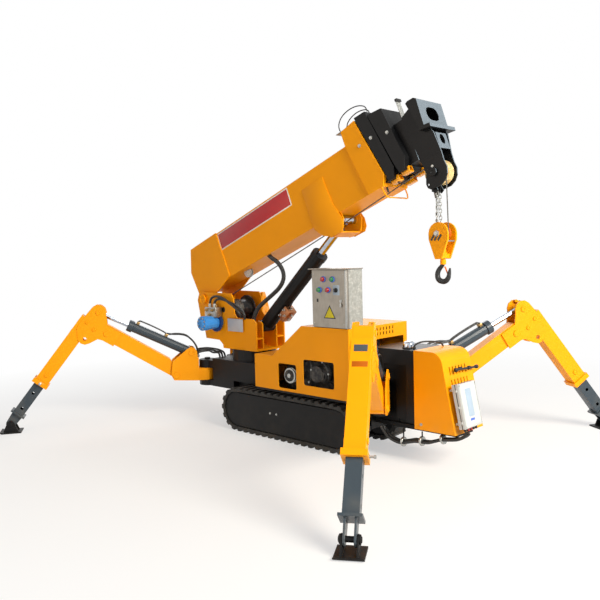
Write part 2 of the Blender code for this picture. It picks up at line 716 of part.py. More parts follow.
def build_hood():
    floor = DECK_TOP + SEAT_GAP
    outer = [(HOOD_FRONT, floor), *hood_outline(0), (HOOD_REAR, floor)]
    inner = [(HOOD_FRONT + HOOD_SHEET, floor - 0.1), *hood_outline(HOOD_SHEET),
             (HOOD_REAR - HOOD_SHEET, floor - 0.1)]
    shell = plate(outer, -HOOD_HALF_WIDTH, HOOD_HALF_WIDTH)
    edge = HOOD_HALF_WIDTH - HOOD_SHEET
    inside = plate(inner, -edge, edge)
    windows = [rounded(rectangle(low, high), 0.02)
               for low, high in (((0.158, 0.505), (0.387, 0.730)), ((0.479, 0.560), (0.840, 0.791)))]
    openings = [plate(outline, -0.6, 0.6) for outline in windows]
    rear_gap = box((HOOD_REAR - 0.05, -0.36, floor - 0.1), (HOOD_REAR + 0.05, 0.36, HOOD_REAR_BOTTOM))
    slots = []
    for row_z, count in ((1.052, 9), (1.012, 9)):
        for i in range(count):
            y = -0.16 + i * 0.045
            slots.append(box((HOOD_REAR - 0.05, y - 0.007, row_z - 0.014),
                             (HOOD_REAR + 0.05, y + 0.007, row_z + 0.014)))
    hood = cut(shell, inside)
    hood = cut(hood, *openings, rear_gap)
    return cut(hood, *slots)


def build_engine():
    block = box((0.14, -0.28, DECK_TOP + SEAT_GAP), (0.92, 0.30, 0.77))
    pump = rod((0.62, -0.40, 0.67), (0.62, -0.27, 0.67), 0.075, EYE_SIDES)
    filter_can = rod((0.27, -0.39, 0.62), (0.27, -0.27, 0.62), 0.055, EYE_SIDES)
    head = box((0.46, -0.18, 0.76), (0.88, 0.18, 0.98))
    return unite(block, pump, filter_can, head)


def build_switch_box():
    x1, z0 = HOOD_REAR - 0.002, HOOD_TOP + SEAT_GAP
    x0 = x1 - BOX_SIZE[0]
    y0, y1 = -HOOD_HALF_WIDTH - 0.001, -HOOD_HALF_WIDTH - 0.001 + BOX_SIZE[1]
    front = y0 + 0.022
    body = box((x0, front, z0), (x1, y1, z0 + BOX_SIZE[2]))
    inside = box((x0 + BOX_SHEET, front - 0.05, z0 + BOX_SHEET), (x1 - BOX_SHEET, y1 - BOX_SHEET,
                                                                 z0 + BOX_SIZE[2] - BOX_SHEET))
    body = cut(body, inside)
    door = box((x0 + 0.002, y0, z0 + 0.004),
               (x1 - 0.002, front - SEAT_GAP - 0.0005, z0 + BOX_SIZE[2] - 0.004))
    return body, door, (x0 + 0.002 - SEAT_GAP, y0 - SEAT_GAP, 0)


def build_tank():
    outline = [(TANK_FRONT, TANK_STEP_Z), (TANK_STEP_X, TANK_STEP_Z), (TANK_STEP_X, TANK_BOTTOM),
               (HOUSING_FRONT - 0.002, TANK_BOTTOM), (HOUSING_FRONT - 0.002, TANK_TOP),
               (TANK_FRONT, TANK_TOP)]
    body = plate(outline, -TANK_HALF_WIDTH, TANK_HALF_WIDTH)
    reliefs = [box((TANK_FRONT - 0.1, low, TANK_BOTTOM - 0.1), (TANK_WAIST_END, high, TANK_WAIST_TOP))
               for low, high in ((-0.5, -TANK_WAIST), (TANK_WAIST, 0.5))]
    body = cut(body, *reliefs)
    x, y = FILLER_PLACE
    neck = rod((x, y, TANK_TOP - 0.01), (x, y, TANK_TOP + 0.015), 0.045, EYE_SIDES)
    cap = rod((x, y, TANK_TOP + 0.01), (x, y, TANK_TOP + 0.045), 0.034, EYE_SIDES)
    return unite(body, neck, cap)


def housing_outline(inset):
    """Top and rear of the housing: flat, a round corner, then the slanted rear face to its foot."""
    slope = math.radians(HOUSING_SLOPE)
    top = TANK_TOP + 0.003
    centre_z = top - HOUSING_CORNER
    rise = centre_z - HOUSING_BOTTOM
    centre_x = HOUSING_FOOT_X - rise * math.tan(slope) - HOUSING_CORNER / math.cos(slope)
    bend = arc((centre_x, centre_z), HOUSING_CORNER - inset, 90, HOUSING_SLOPE, 7)
    return [(HOUSING_FRONT + inset, top - inset), *bend,
            (HOUSING_FOOT_X - inset / math.cos(slope), HOUSING_BOTTOM)]


def build_housing():
    outer = [(HOUSING_FRONT, HOUSING_BOTTOM), *housing_outline(0)]
    inner = [(HOUSING_FRONT + BOX_SHEET, HOUSING_BOTTOM - 0.1), *housing_outline(BOX_SHEET)[:-1],
             (HOUSING_FOOT_X - 0.008, HOUSING_BOTTOM - 0.1)]
    shell = cut(plate(outer, -HOUSING_HALF_WIDTH, HOUSING_HALF_WIDTH),
                plate(inner, BOX_SHEET - HOUSING_HALF_WIDTH, HOUSING_HALF_WIDTH - BOX_SHEET))
    slots = []
    for row in (0.775, 0.675):
        for i in range(6):
            y = -0.12 + i * 0.045
            slots.append(box((1.70, y - 0.007, row - 0.032), (1.95, y + 0.007, row + 0.032)))
    return cut(shell, *slots)


def build_controller():
    foot = (HOUSING_FOOT_X, HOUSING_BOTTOM)
    low, high = -0.20, 0.05
    def face(rise, out):
        return along_line(foot, 90 + HOUSING_SLOPE, rise, -out)
    case = [face(0.045, 0.042), face(0.045, 0.095), face(0.392, 0.095), face(0.392, 0.042)]
    body = plate(case, low, high)
    posts = []
    for rise in (0.085, 0.35):
        for y in (low + 0.035, high - 0.035):
            a, b = face(rise, SEAT_GAP), face(rise, 0.05)
            posts.append(rod((a[0], y, a[1]), (b[0], y, b[1]), 0.011, 6))
    return unite(body, *posts)


# Slewing post and winch

def build_turret():
    s = SLEW_X
    cheek = [(s - 0.583, 1.342), (s - 0.637, 1.318), (s - 0.662, 1.254), (s - 0.621, 1.075),
             (s - 0.556, 0.946), (s - 0.534, 0.852), (s - 0.317, 0.846), (s - 0.262, 0.805),
             (s - 0.253, TURRET_BASE + 0.001), (s + 0.255, TURRET_BASE + 0.001), (s + 0.256, 1.047),
             (s + 0.215, 1.085), (s - 0.030, 1.088), (s - 0.070, 1.130), (s - 0.078, 1.285),
             (s - 0.113, 1.335)]
    drum_hole = bore_outline(WINCH_AXIS, DRUM_SHAFT_RADIUS, BARREL_SIDES)
    inner = TURRET_HALF_WIDTH - TURRET_PLATE
    cheeks = [plate(cheek, *sorted((side * inner, side * TURRET_HALF_WIDTH)), holes=(drum_hole,))
              for side in (-1, 1)]
    base = plate([(s - 0.255, -0.2), (s + 0.257, -0.2), (s + 0.257, 0.2), (s - 0.255, 0.2)],
                 TURRET_BASE, TURRET_BASE + 0.02, "xy")
    back = plate([(s - 0.500, 0.856), (s - 0.484, 0.856), (s - 0.560, 1.15), (s - 0.576, 1.15)],
                 -inner - 0.004, inner + 0.004)
    belly = box((s - 0.500, -inner - 0.004, 0.852), (s - 0.28, inner + 0.004, 0.866))
    throat = box((s - 0.262, -inner - 0.004, 0.78), (s - 0.248, inner + 0.004, 0.862))
    lugs = []
    ribs = []
    for side in (-1, 1):
        outline = [(s + 0.10, TURRET_BASE + 0.01), (s + 0.243, TURRET_BASE + 0.01),
                   (s + 0.243, 1.03), *arc(DERRICK_PIN, 0.058, 30, 150, 4), (s + 0.13, 0.98)]
        lugs.append(plate(outline, *sorted((side * 0.088, side * 0.102))))
        low, high = sorted((side * 0.095, side * (inner + 0.004)))
        ribs.append(box((s + 0.150, low, 0.882), (s + 0.250, high, 0.896)))
    turret = unite(base, *cheeks)
    turret = unite(turret, back, belly, throat)
    turret = unite(turret, *lugs)
    turret = unite(turret, *ribs)
    pin = cross_rod(BOOM_PIVOT, TURRET_HALF_WIDTH + 0.018, BOOM_PIN_RADIUS, BIG_PIN_SIDES)
    return unite(turret, pin)


def build_winch_drum():
    end = TURRET_HALF_WIDTH - TURRET_PLATE + 0.010
    half = [(0.0, end), (DRUM_SHAFT_RADIUS, end), (DRUM_SHAFT_RADIUS, FLANGE_OUTER),
            (WINCH_FLANGE_RADIUS, FLANGE_OUTER), (WINCH_FLANGE_RADIUS, FLANGE_INNER),
            (WINCH_DRUM_RADIUS, FLANGE_INNER)]
    other_half = [(radius, -offset) for radius, offset in reversed(half)]
    return turned([*half, *other_half], WINCH_AXIS, BARREL_SIDES)


def build_winch_motor():
    x, z = MOTOR_AXIS
    face = -TURRET_HALF_WIDTH - SEAT_GAP
    gearbox = rod((x, face, z), (x, face - 0.03, z), 0.085, BARREL_SIDES)
    body = rod((x, face - 0.02, z), (x, face - MOTOR_LENGTH + 0.06, z), MOTOR_RADIUS - 0.006, BARREL_SIDES)
    cap = rod((x, face - MOTOR_LENGTH + 0.07, z), (x, face - MOTOR_LENGTH, z), MOTOR_RADIUS, BARREL_SIDES)
    valve = box((x - 0.10, face - 0.085, z + 0.055), (x + 0.075, face - 0.004, z + 0.155))
    return unite(gearbox, body, cap, valve)


# Boom, in boom coordinates: X along the boom from its pivot, Z up from it

SECTIONS = (
    # name, half width, bottom, top, rear end, front end, collar outline
    ("boom_base", 0.155, 0.085, 0.578, -0.055, 2.50,
     ((2.345, 0.560), (2.345, 0.707), (2.511, 0.726), (2.632, 0.166), (2.588, 0.078), (2.42, 0.078))),
    ("boom_section_2", 0.137, 0.105, 0.558, 0.35, 2.66,
     ((2.519, 0.745), (2.640, 0.741), (2.742, 0.180), (2.700, 0.092), (2.650, 0.092), (2.6425, 0.166))),
    ("boom_section_3", 0.119, 0.125, 0.538, 0.42, 2.80,
     ((2.6525, 0.700), (2.800, 0.680), (2.868, 0.210), (2.830, 0.112), (2.775, 0.112), (2.7545, 0.180))),
    ("boom_head", 0.101, 0.145, 0.518, 0.50, 2.94, None),
)


def build_section(index):
    name, half, low, high, rear, front, collar = SECTIONS[index]
    tube = box((rear, -half, low), (front, half, high))
    if collar:
        ring = plate(list(collar), -0.172 + 0.002 * index, 0.172 - 0.002 * index)
        tube = unite(tube, ring)
        _, next_half, next_low, next_high, _, _, _ = SECTIONS[index + 1]
        mouth = box((rear + 0.5, -next_half - SEAT_GAP, next_low - SEAT_GAP),
                    (front + 0.5, next_half + SEAT_GAP, next_high + SEAT_GAP))
        hollow = box((rear + 0.012, -half + BOOM_WALL, low + BOOM_WALL),
                     (front - 0.22, half - BOOM_WALL, high - BOOM_WALL))
        tube = cut(tube, mouth)
        tube = cut(tube, hollow)
    return tube


def build_boom_base():
    base = build_section(0)
    plate_outline = [(-0.045, 0.585), (0.420, 0.585), (0.452, 0.100), (0.235, 0.020),
                     *arc((0, 0), 0.085, -10, -170, 5), (-0.140, 0.350)]
    pin_hole = bore_outline((0, 0), BOOM_PIN_RADIUS, BIG_PIN_SIDES)
    cheeks = [plate(plate_outline, *sorted((side * 0.150, side * 0.166)), holes=(pin_hole,))
              for side in (-1, 1)]
    gusset_curve = arc((0.520, -0.170), 0.330, 90, 160, 5)
    gusset = [(0.56, 0.090), *gusset_curve[1:], (0.14, 0.02), (0.10, 0.090)]
    webs = [plate(gusset, *sorted((side * 0.120, side * 0.134))) for side in (-1, 1)]
    lug = [(1.79, 0.090), (2.055, 0.090), (2.062, 0.030), (2.005, -0.075), (1.860, -0.075)]
    lugs = [plate(lug, *sorted((side * 0.120, side * 0.135))) for side in (-1, 1)]
    base = unite(base, *cheeks)
    base = unite(base, *lugs)
    foot = box((1.885, -0.135, -0.081), (1.995, 0.135, -0.067))
    pin = cross_rod(DERRICK_LUG, 0.145, DERRICK_PIN_RADIUS, BIG_PIN_SIDES)
    base = unite(base, foot, pin)
    return lay_on_boom(base)


def pinched(piece, low, high, shift):
    """Bend a cheek: full width above high, moved inwards by shift below low, sloping between."""
    shape = bmesh.new()
    shape.from_mesh(piece.data)
    for level in (low, high):
        bmesh.ops.bisect_plane(shape, geom=[*shape.verts, *shape.edges, *shape.faces],
                               plane_co=(0, 0, level), plane_no=(0, 0, 1), dist=0.00001)
    for corner in shape.verts:
        share = min(max((high - corner.co.z) / (high - low), 0), 1)
        corner.co.y -= math.copysign(shift * share, corner.co.y)
    shape.to_mesh(piece.data)
    shape.free()
    return piece


def build_boom_head():
    _, half, low, high, rear, front, _ = SECTIONS[3]
    hollow = box((rear - 0.1, BOOM_WALL - half, low + BOOM_WALL),
                 (front - 0.04, half - BOOM_WALL, high - BOOM_WALL))
    tube = cut(build_section(3), hollow)
    outline = [(2.925, 0.529), (3.060, 0.580), (3.130, 0.565), (3.128, 0.330), (3.150, 0.285),
               *arc(SHEAVE_AXIS, 0.125, 20, -105, 5), (2.945, -0.118), (2.922, -0.095),
               (2.918, -0.060), (2.950, 0.020), (2.946, 0.090), (2.884, 0.410)]
    ear_hole = circle((2.938, -0.072), 0.010, 6)
    inner = HEAD_HALF_WIDTH - HEAD_PLATE
    cheeks = [plate(outline, *sorted((side * inner, side * HEAD_HALF_WIDTH)), holes=(ear_hole,))
              for side in (-1, 1)]
    cheeks = [pinched(cheek, 0.12, 0.30, HEAD_PINCH) for cheek in cheeks]
    anchors = []
    for side in (-1, 1):
        anchors.append(plate([(2.945, -0.085), (2.925, -0.125), (2.955, -0.150), (2.985, -0.135),
                              (2.978, -0.105)], *sorted((side * 0.036, side * 0.046))))
        anchors.append(rod((2.962, side * 0.040, -0.102),
                           (2.962, side * (HEAD_HALF_WIDTH - HEAD_PINCH - 0.003), -0.102), 0.009, 6))
    top = plate([(2.93, 0.529), (3.060, 0.578), (3.056, 0.566), (2.94, 0.512)], -inner - 0.004, inner + 0.004)
    cowl = plate([(3.035, 0.582), (3.060, 0.592), (3.118, 0.588), (3.140, 0.570), (3.129, 0.325),
                  (3.085, 0.330)], -HEAD_FACE, HEAD_FACE)
    inside = plate([(3.030, 0.560), (3.062, 0.580), (3.112, 0.576), (3.127, 0.564), (3.117, 0.300),
                    (3.060, 0.300)], -HEAD_FACE + 0.010, HEAD_FACE - 0.010)
    cowl = cut(cowl, inside)
    lip = plate([(3.080, 0.352), (3.185, 0.335), (3.182, 0.305), (3.076, 0.322)],
                -HEAD_FACE - 0.003, HEAD_FACE + 0.003)
    pinched_half = HEAD_HALF_WIDTH - HEAD_PINCH - 0.004
    lower = plate([(3.118, 0.310), (3.146, 0.285), (3.143, 0.150), (3.131, 0.150), (3.131, 0.275),
                   (3.105, 0.310)], -pinched_half, pinched_half)
    upper_window = rounded(rectangle((-0.085, 0.400), (0.085, 0.515)), 0.05, 2)
    lower_window = rounded(rectangle((-0.032, 0.190), (0.032, 0.275)), 0.031, 2)
    windows = [plate(loop, 3.0, 3.3, "yz") for loop in (upper_window, lower_window)]
    head = unite(tube, *cheeks)
    head = unite(head, top, cowl)
    head = unite(head, lip, lower, *anchors)
    axle = cross_rod(SHEAVE_AXIS, HEAD_HALF_WIDTH - HEAD_PINCH + 0.012, SHEAVE_AXLE_RADIUS, BIG_PIN_SIDES)
    head = unite(head, axle)
    return lay_on_boom(cut(head, *windows))


def build_head_sheaves():
    r, root = SHEAVE_RADIUS, SHEAVE_RADIUS - GROOVE_DEPTH
    bore = bore_radius(SHEAVE_AXLE_RADIUS, SHEAVE_SIDES)
    end = 2 * SHEAVE_GROOVE
    groove = ((r, 0.022), (root, 0.006), (root, -0.006), (r, -0.022))
    profile = [(bore, end), (r, end - 0.002)]
    for centre in (SHEAVE_GROOVE, -SHEAVE_GROOVE):
        profile += [(radius, centre + offset) for radius, offset in groove]
    profile += [(r, 0.002 - end), (bore, -end)]
    return turned_ring(profile, boom_point(*SHEAVE_AXIS), SHEAVE_SIDES)


def build_hook_block():
    x, z = BLOCK_X, BLOCK_SHEAVE_Z
    cheek = [*arc((x, z), 0.090, 0, 180, 8), (x - 0.088, z - 0.05), (x - 0.030, z - 0.205),
             (x + 0.030, z - 0.205), (x + 0.088, z - 0.05)]
    cheeks = [plate(cheek, *sorted((side * 0.052, side * 0.070))) for side in (-1, 1)]
    bridge = box((x - 0.028, -0.06, z - 0.200), (x + 0.028, 0.06, z - 0.165))
    axle = cross_rod((x, z), 0.078, BLOCK_AXLE_RADIUS, EYE_SIDES)
    return unite(bridge, *cheeks, axle)


def build_block_sheave():
    r = BLOCK_SHEAVE_RADIUS
    bore = bore_radius(BLOCK_AXLE_RADIUS, SHEAVE_SIDES)
    root = r - BLOCK_GROOVE_DEPTH
    profile = [(bore, 0.026), (r, 0.026), (r, 0.020), (root, 0.006), (root, -0.006),
               (r, -0.020), (r, -0.026), (bore, -0.026)]
    return turned_ring(profile, (BLOCK_X, BLOCK_SHEAVE_Z), SHEAVE_SIDES)


def build_hoist_rope():
    steps = 8
    seat = ROPE_RADIUS + SEAT_GAP
    radius = (BLOCK_SHEAVE_RADIUS - BLOCK_GROOVE_DEPTH + seat) / math.cos(math.pi / 2 / steps)
    head_x, head_z = boom_point(*SHEAVE_AXIS)
    points = [(head_x + SHEAVE_RADIUS - GROOVE_DEPTH + seat, -SHEAVE_GROOVE, head_z)]
    for i in range(steps + 1):
        turn = -math.pi * i / steps
        points.append((BLOCK_X + radius * math.cos(turn), 0, BLOCK_SHEAVE_Z + radius * math.sin(turn)))
    points.append((BLOCK_X - radius, 0, 2.15))
    rope = tube_along(points, ROPE_RADIUS)
    top = (BLOCK_X - radius, 0, 2.145)
    socket = rod(top, (top[0], 0, 2.215), 0.012, PIN_SIDES, 0.026)
    return unite(rope, socket)


def build_hook():
    x, z = BLOCK_X, BLOCK_SHEAVE_Z - 0.205
    shank = rod((x, 0, z - 0.075), (x, 0, z + 0.0045), 0.017, EYE_SIDES)
    nut = rod((x, 0, z - 0.035), (x, 0, z - 0.002), 0.027, 6)
    centre = (x, z - 0.130)
    outer = arc(centre, 0.072, 84, 385, 15)
    inner = arc((centre[0] + 0.006, centre[1] + 0.006), 0.038, 380, 100, 12)
    bowl = plate([*outer, *inner], -0.014, 0.014)
    hook = unite(shank, nut)
    return unite(hook, bowl)


def build_derrick():
    lug = boom_point(*DERRICK_LUG)
    angle = math.degrees(math.atan2(lug[1] - DERRICK_PIN[1], lug[0] - DERRICK_PIN[0]))
    rod_start = math.dist(lug, DERRICK_PIN) - DERRICK_ROD_LENGTH
    barrel = build_barrel(DERRICK_PIN, angle, DERRICK_BARREL_LENGTH, DERRICK_BARREL_RADIUS,
                          DERRICK_ROD_RADIUS, rod_start - DERRICK_SPARE_STROKE,
                          2 * DERRICK_BARREL_RADIUS + 0.004, 0)
    base_pin = cross_rod(DERRICK_PIN, 0.088 - SEAT_GAP, 0.030, EYE_SIDES)
    barrel = unite(barrel, base_pin)
    start = along_line(DERRICK_PIN, angle, rod_start)
    end = along_line(lug, angle, -0.02)
    bar = rod((start[0], 0, start[1]), (end[0], 0, end[1]), DERRICK_ROD_RADIUS, BORE_SIDES)
    eye = cross_rod(lug, 0.050, 0.0385, EYE_SIDES)
    bore = cross_bore(lug, 0.2, DERRICK_PIN_RADIUS, BIG_PIN_SIDES)
    return barrel, cut(unite(bar, eye), bore), lug


def build_machine():
    start_scene()
    build_outriggers()
    for name, side in (("left", -1), ("right", 1)):
        keep(build_track(side), name + "_track", RUBBER)
        keep(build_track_frame(side), name + "_track_frame", BLACK)
    keep(build_main_frame(), "main_frame", BLACK)
    keep(build_hood(), "hood", YELLOW)
    keep(build_engine(), "engine", BLACK)
    body, door, hinge = build_switch_box()
    keep(body, "switch_box", STEEL)
    keep(door, "switch_box_door", STEEL, hinge)
    keep(build_tank(), "tank", BLACK)
    keep(build_housing(), "rear_housing", YELLOW)
    keep(build_controller(), "controller", GREY)
    keep(build_turret(), "turret", YELLOW, (SLEW_X, 0, 0))
    keep(build_winch_drum(), "winch_drum", SLATE, (WINCH_AXIS[0], 0, WINCH_AXIS[1]))
    keep(build_winch_motor(), "winch_motor", BLUE)
    barrel, bar, lug = build_derrick()
    keep(barrel, "derrick_cylinder", BLACK, (DERRICK_PIN[0], 0, DERRICK_PIN[1]))
    keep(bar, "derrick_rod", CHROME, (lug[0], 0, lug[1]))
    pivot = (BOOM_PIVOT[0], 0, BOOM_PIVOT[1])
    keep(build_boom_base(), "boom_base", YELLOW, pivot)
    for index in (1, 2):
        keep(lay_on_boom(build_section(index)), SECTIONS[index][0], BLACK, pivot)
    keep(build_boom_head(), "boom_head", BLACK, pivot)
    sheave = boom_point(*SHEAVE_AXIS)
    sheave_place = (sheave[0], 0, sheave[1])
    keep(build_head_sheaves(), "head_sheaves", CREAM, sheave_place)
    keep(build_hook_block(), "hook_block", YELLOW, sheave_place)
    keep(build_block_sheave(), "block_sheave", CREAM, (BLOCK_X, 0, BLOCK_SHEAVE_Z))
    keep(build_hoist_rope(), "hoist_rope", STEEL, sheave_place)
    keep(build_hook(), "hook", BLACK, (BLOCK_X, 0, 0))


build_machine()
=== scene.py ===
import math
import bpy
from mathutils import Matrix, Vector


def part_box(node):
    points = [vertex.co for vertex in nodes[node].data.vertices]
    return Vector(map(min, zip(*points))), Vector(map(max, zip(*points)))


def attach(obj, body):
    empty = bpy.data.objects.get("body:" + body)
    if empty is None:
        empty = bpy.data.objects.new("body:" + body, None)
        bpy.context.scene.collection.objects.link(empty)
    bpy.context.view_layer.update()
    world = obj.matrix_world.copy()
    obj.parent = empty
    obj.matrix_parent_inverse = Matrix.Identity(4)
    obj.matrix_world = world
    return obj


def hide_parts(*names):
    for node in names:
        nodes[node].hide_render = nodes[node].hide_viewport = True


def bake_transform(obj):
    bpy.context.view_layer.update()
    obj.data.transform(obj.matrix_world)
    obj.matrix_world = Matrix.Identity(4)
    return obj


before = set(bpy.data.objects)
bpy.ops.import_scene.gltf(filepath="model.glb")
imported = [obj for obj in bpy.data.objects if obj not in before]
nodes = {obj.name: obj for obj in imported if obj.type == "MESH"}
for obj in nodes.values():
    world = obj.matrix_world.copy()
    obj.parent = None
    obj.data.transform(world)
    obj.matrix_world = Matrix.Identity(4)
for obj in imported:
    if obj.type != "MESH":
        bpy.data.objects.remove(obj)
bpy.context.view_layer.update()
legNames = ("front_left", "front_right", "rear_left", "rear_right")
print("frame loaded:", len(nodes), "nodes")

# Camera, as the photograph was taken

view = {"place": (4.836, -4.906, 1.753), "heading": 44.236, "pitch": 3.957, "roll": -1.523,
        "lens": 42.68, "sensor": 36.0}


def makeCamera():
    data = bpy.data.cameras.new("photoCamera")
    data.lens = view["lens"]
    data.sensor_width = view["sensor"]
    camera = bpy.data.objects.new("photoCamera", data)
    bpy.context.scene.collection.objects.link(camera)
    turn = (Matrix.Rotation(math.radians(view["heading"]), 4, "Z")
            @ Matrix.Rotation(math.radians(90 - view["pitch"]), 4, "X")
            @ Matrix.Rotation(math.radians(view["roll"]), 4, "Z"))
    camera.matrix_world = Matrix.Translation(view["place"]) @ turn
    bpy.context.scene.camera = camera
    return camera


makeCamera()
print("camera set")

# Materials


def addNode(material, kind, sets=(), links=()):  # one node, with its settings and what feeds it
    node = material.node_tree.nodes.new("ShaderNode" + kind)
    for name, value in dict(sets).items():
        if hasattr(node, str(name)):
            setattr(node, name, value)
        else:
            node.inputs[name].default_value = value
    for name, source in dict(links).items():
        material.node_tree.links.new(source, node.inputs[name])
    return node


def linear(hexColour):  # an sRGB hex value as Blender's linear colour
    parts = [int(hexColour[i:i + 2], 16) / 255 for i in (1, 3, 5)]
    return [p / 12.92 if p <= 0.04045 else ((p + 0.055) / 1.055) ** 2.4 for p in parts] + [1.0]


def newMaterial(name, **sockets):
    material = bpy.data.materials.new(name)
    material.use_nodes = True
    material.node_tree.nodes.clear()
    shader = addNode(material, "BsdfPrincipled", {key.replace("_", " "): value for key, value in sockets.items()})
    addNode(material, "OutputMaterial", links={"Surface": shader.outputs["BSDF"]})
    return material, shader


def feed(material, output, shader, socket):
    material.node_tree.links.new(output, shader.inputs[socket])


def objectPlace(material):
    return addNode(material, "TexCoord").outputs["Object"]


def blendColours(material, share, first, second):
    mix = addNode(material, "Mix", {"data_type": "RGBA"})
    for socket, value in ((0, share), (6, first), (7, second)):
        if isinstance(value, bpy.types.NodeSocket):
            material.node_tree.links.new(value, mix.inputs[socket])
        else:
            mix.inputs[socket].default_value = value
    return mix.outputs[2]


def noiseShare(material, place, scale, low, high, detail=3.0):  # noise stretched to 0..1 between two levels
    noise = addNode(material, "TexNoise", {"Scale": scale, "Detail": detail}, {"Vector": place})
    return addNode(material, "MapRange", {"From Min": low, "From Max": high},
                   {"Value": noise.outputs["Fac"]}).outputs["Result"]


def shade(colour, factor):
    return [min(1.0, c * factor) for c in colour[:3]] + [1.0]


def addDust(material, place, clean, top=0.42, amount=0.3):  # road dust that thins out upwards
    height = addNode(material, "SeparateXYZ", links={"Vector": place}).outputs["Z"]
    low = addNode(material, "MapRange", {"From Min": top, "From Max": 0.0, "To Max": amount}, {"Value": height})
    patch = noiseShare(material, place, 9.0, 0.4, 0.75, 6.0)
    share = addNode(material, "Math", {"operation": "MULTIPLY"}, {0: low.outputs["Result"], 1: patch})
    return blendColours(material, share.outputs["Value"], clean, linear("#A39782"))


def addBump(material, shader, height, strength, distance):
    bump = addNode(material, "Bump", {"Strength": strength, "Distance": distance}, {"Height": height})
    feed(material, bump.outputs["Normal"], shader, "Normal")


def addGrain(material, shader, place, scale, detail, strength, distance):
    grain = addNode(material, "TexNoise", {"Scale": scale, "Detail": detail}, {"Vector": place})
    addBump(material, shader, grain.outputs["Fac"], strength, distance)


def addSheen(material, shader, share, low, high):  # roughness between two levels
    span = addNode(material, "MapRange", {"To Min": low, "To Max": high}, {"Value": share})
    feed(material, span.outputs["Result"], shader, "Roughness")


def twoTone(name, first, second, cloud, sheen, **sockets):  # cloud: noise settings; sheen: scale, low, high
    material, shader = newMaterial(name, **sockets)
    place = objectPlace(material)
    feed(material, blendColours(material, noiseShare(material, place, *cloud), first, second), shader, "Base Color")
    addSheen(material, shader, noiseShare(material, place, sheen[0], 0.3, 0.7), *sheen[1:])
    return material, shader, place


def enamel(name, colour, roughness=0.34, coat=0.2, second=None, litFacing=None, dusty=0.3):
    # Sprayed two-pack enamel on steel plate: an even soft gloss with a faint orange peel.
    material, shader = newMaterial(name, Coat_Weight=coat, Coat_Roughness=0.15, Specular_IOR_Level=0.2)
    place = objectPlace(material)
    base = linear(colour)
    painted = blendColours(material, noiseShare(material, place, 2.2, 0.3, 0.7), shade(base, 0.95), shade(base, 1.04))
    if second:  # faces that point one way take the second, paler colour: a painted highlight, as if light fell on them
        normal = addNode(material, "NewGeometry").outputs["Normal"]
        along = addNode(material, "VectorMath", {"operation": "DOT_PRODUCT", 1: litFacing}, {0: normal})
        share = addNode(material, "MapRange", {"From Min": 0.8, "From Max": 0.9}, {"Value": along.outputs["Value"]})
        painted = blendColours(material, share.outputs["Result"], painted, linear(second))
    feed(material, addDust(material, place, painted, 0.42, dusty), shader, "Base Color")
    addSheen(material, shader, noiseShare(material, place, 6.0, 0.2, 0.8), roughness - 0.05, roughness + 0.07)
    addGrain(material, shader, place, 240.0, 1.0, 0.05, 0.002)  # 4 mm ripple
    return material


def chromedSteel():
    # Hard-chromed and ground rod: a bright mirror, clouded here and there by an oil film.
    return twoTone("hardChromedSteel", linear("#A9B4C2"), linear("#C6CDD6"), (40.0, 0.3, 0.7),
                   (90.0, 0.07, 0.16), Metallic=1.0)[0]


def brushedStainless():
    # Brushed stainless sheet: upright grain every millimetre or so, warm grey, patchy where it was handled.
    material, shader = newMaterial("brushedStainlessSheet", Metallic=0.85)
    place = objectPlace(material)
    stretched = addNode(material, "Mapping", {"Scale": (700.0, 700.0, 9.0)}, {"Vector": place}).outputs["Vector"]
    grain = addNode(material, "TexNoise", {"Scale": 1.0, "Detail": 2.0}, {"Vector": stretched}).outputs["Fac"]
    cloud = noiseShare(material, place, 14.0, 0.35, 0.65, 5.0)
    tone = blendColours(material, cloud, linear("#A39C92"), linear("#B9B4AB"))
    feed(material, blendColours(material, grain, shade(linear("#8F8A80"), 0.8), tone), shader, "Base Color")
    addSheen(material, shader, cloud, 0.3, 0.52)
    addBump(material, shader, grain, 0.12, 0.0006)
    return material


def spangledSteel():
    # Hot-dip galvanised sheet: pale grey with angular zinc spangles about 12 mm across.
    material, shader = newMaterial("spangledGalvanisedSheet", Metallic=0.6)
    place = objectPlace(material)
    cells = addNode(material, "TexVoronoi", {"Scale": 85.0}, {"Vector": place}).outputs["Color"]
    share = addNode(material, "SeparateColor", links={"Color": cells}).outputs["Red"]
    cloud = noiseShare(material, place, 30.0, 0.3, 0.7, 4.0)
    spangle = blendColours(material, share, linear("#A9ABA6"), linear("#CFD0CA"))
    feed(material, blendColours(material, cloud, shade(linear("#B4B5AF"), 0.8), spangle), shader, "Base Color")
    addSheen(material, shader, share, 0.32, 0.5)
    return material


def zincPlated(name="zincPlatedSteel", colour="#B7B9B6"):
    # Bright zinc on turned steel: pale grey metal with a dull spangle.
    base = linear(colour)
    return twoTone(name, shade(base, 0.75), base, (120.0, 0.3, 0.7), (70.0, 0.25, 0.45), Metallic=0.95)[0]


def trackRubber():
    # Moulded track rubber: matt near-black, chafed grey and dusty on the tread.
    material, shader = newMaterial("mouldedTrackRubber", Sheen_Weight=0.08)
    place = objectPlace(material)
    worn = blendColours(material, noiseShare(material, place, 26.0, 0.4, 0.7, 6.0), linear("#101010"),
                        linear("#1E1D1B"))
    feed(material, addDust(material, place, worn, 0.5, 0.14), shader, "Base Color")
    addSheen(material, shader, noiseShare(material, place, 18.0, 0.3, 0.7), 0.62, 0.9)
    addGrain(material, shader, place, 300.0, 3.0, 0.3, 0.001)
    return material


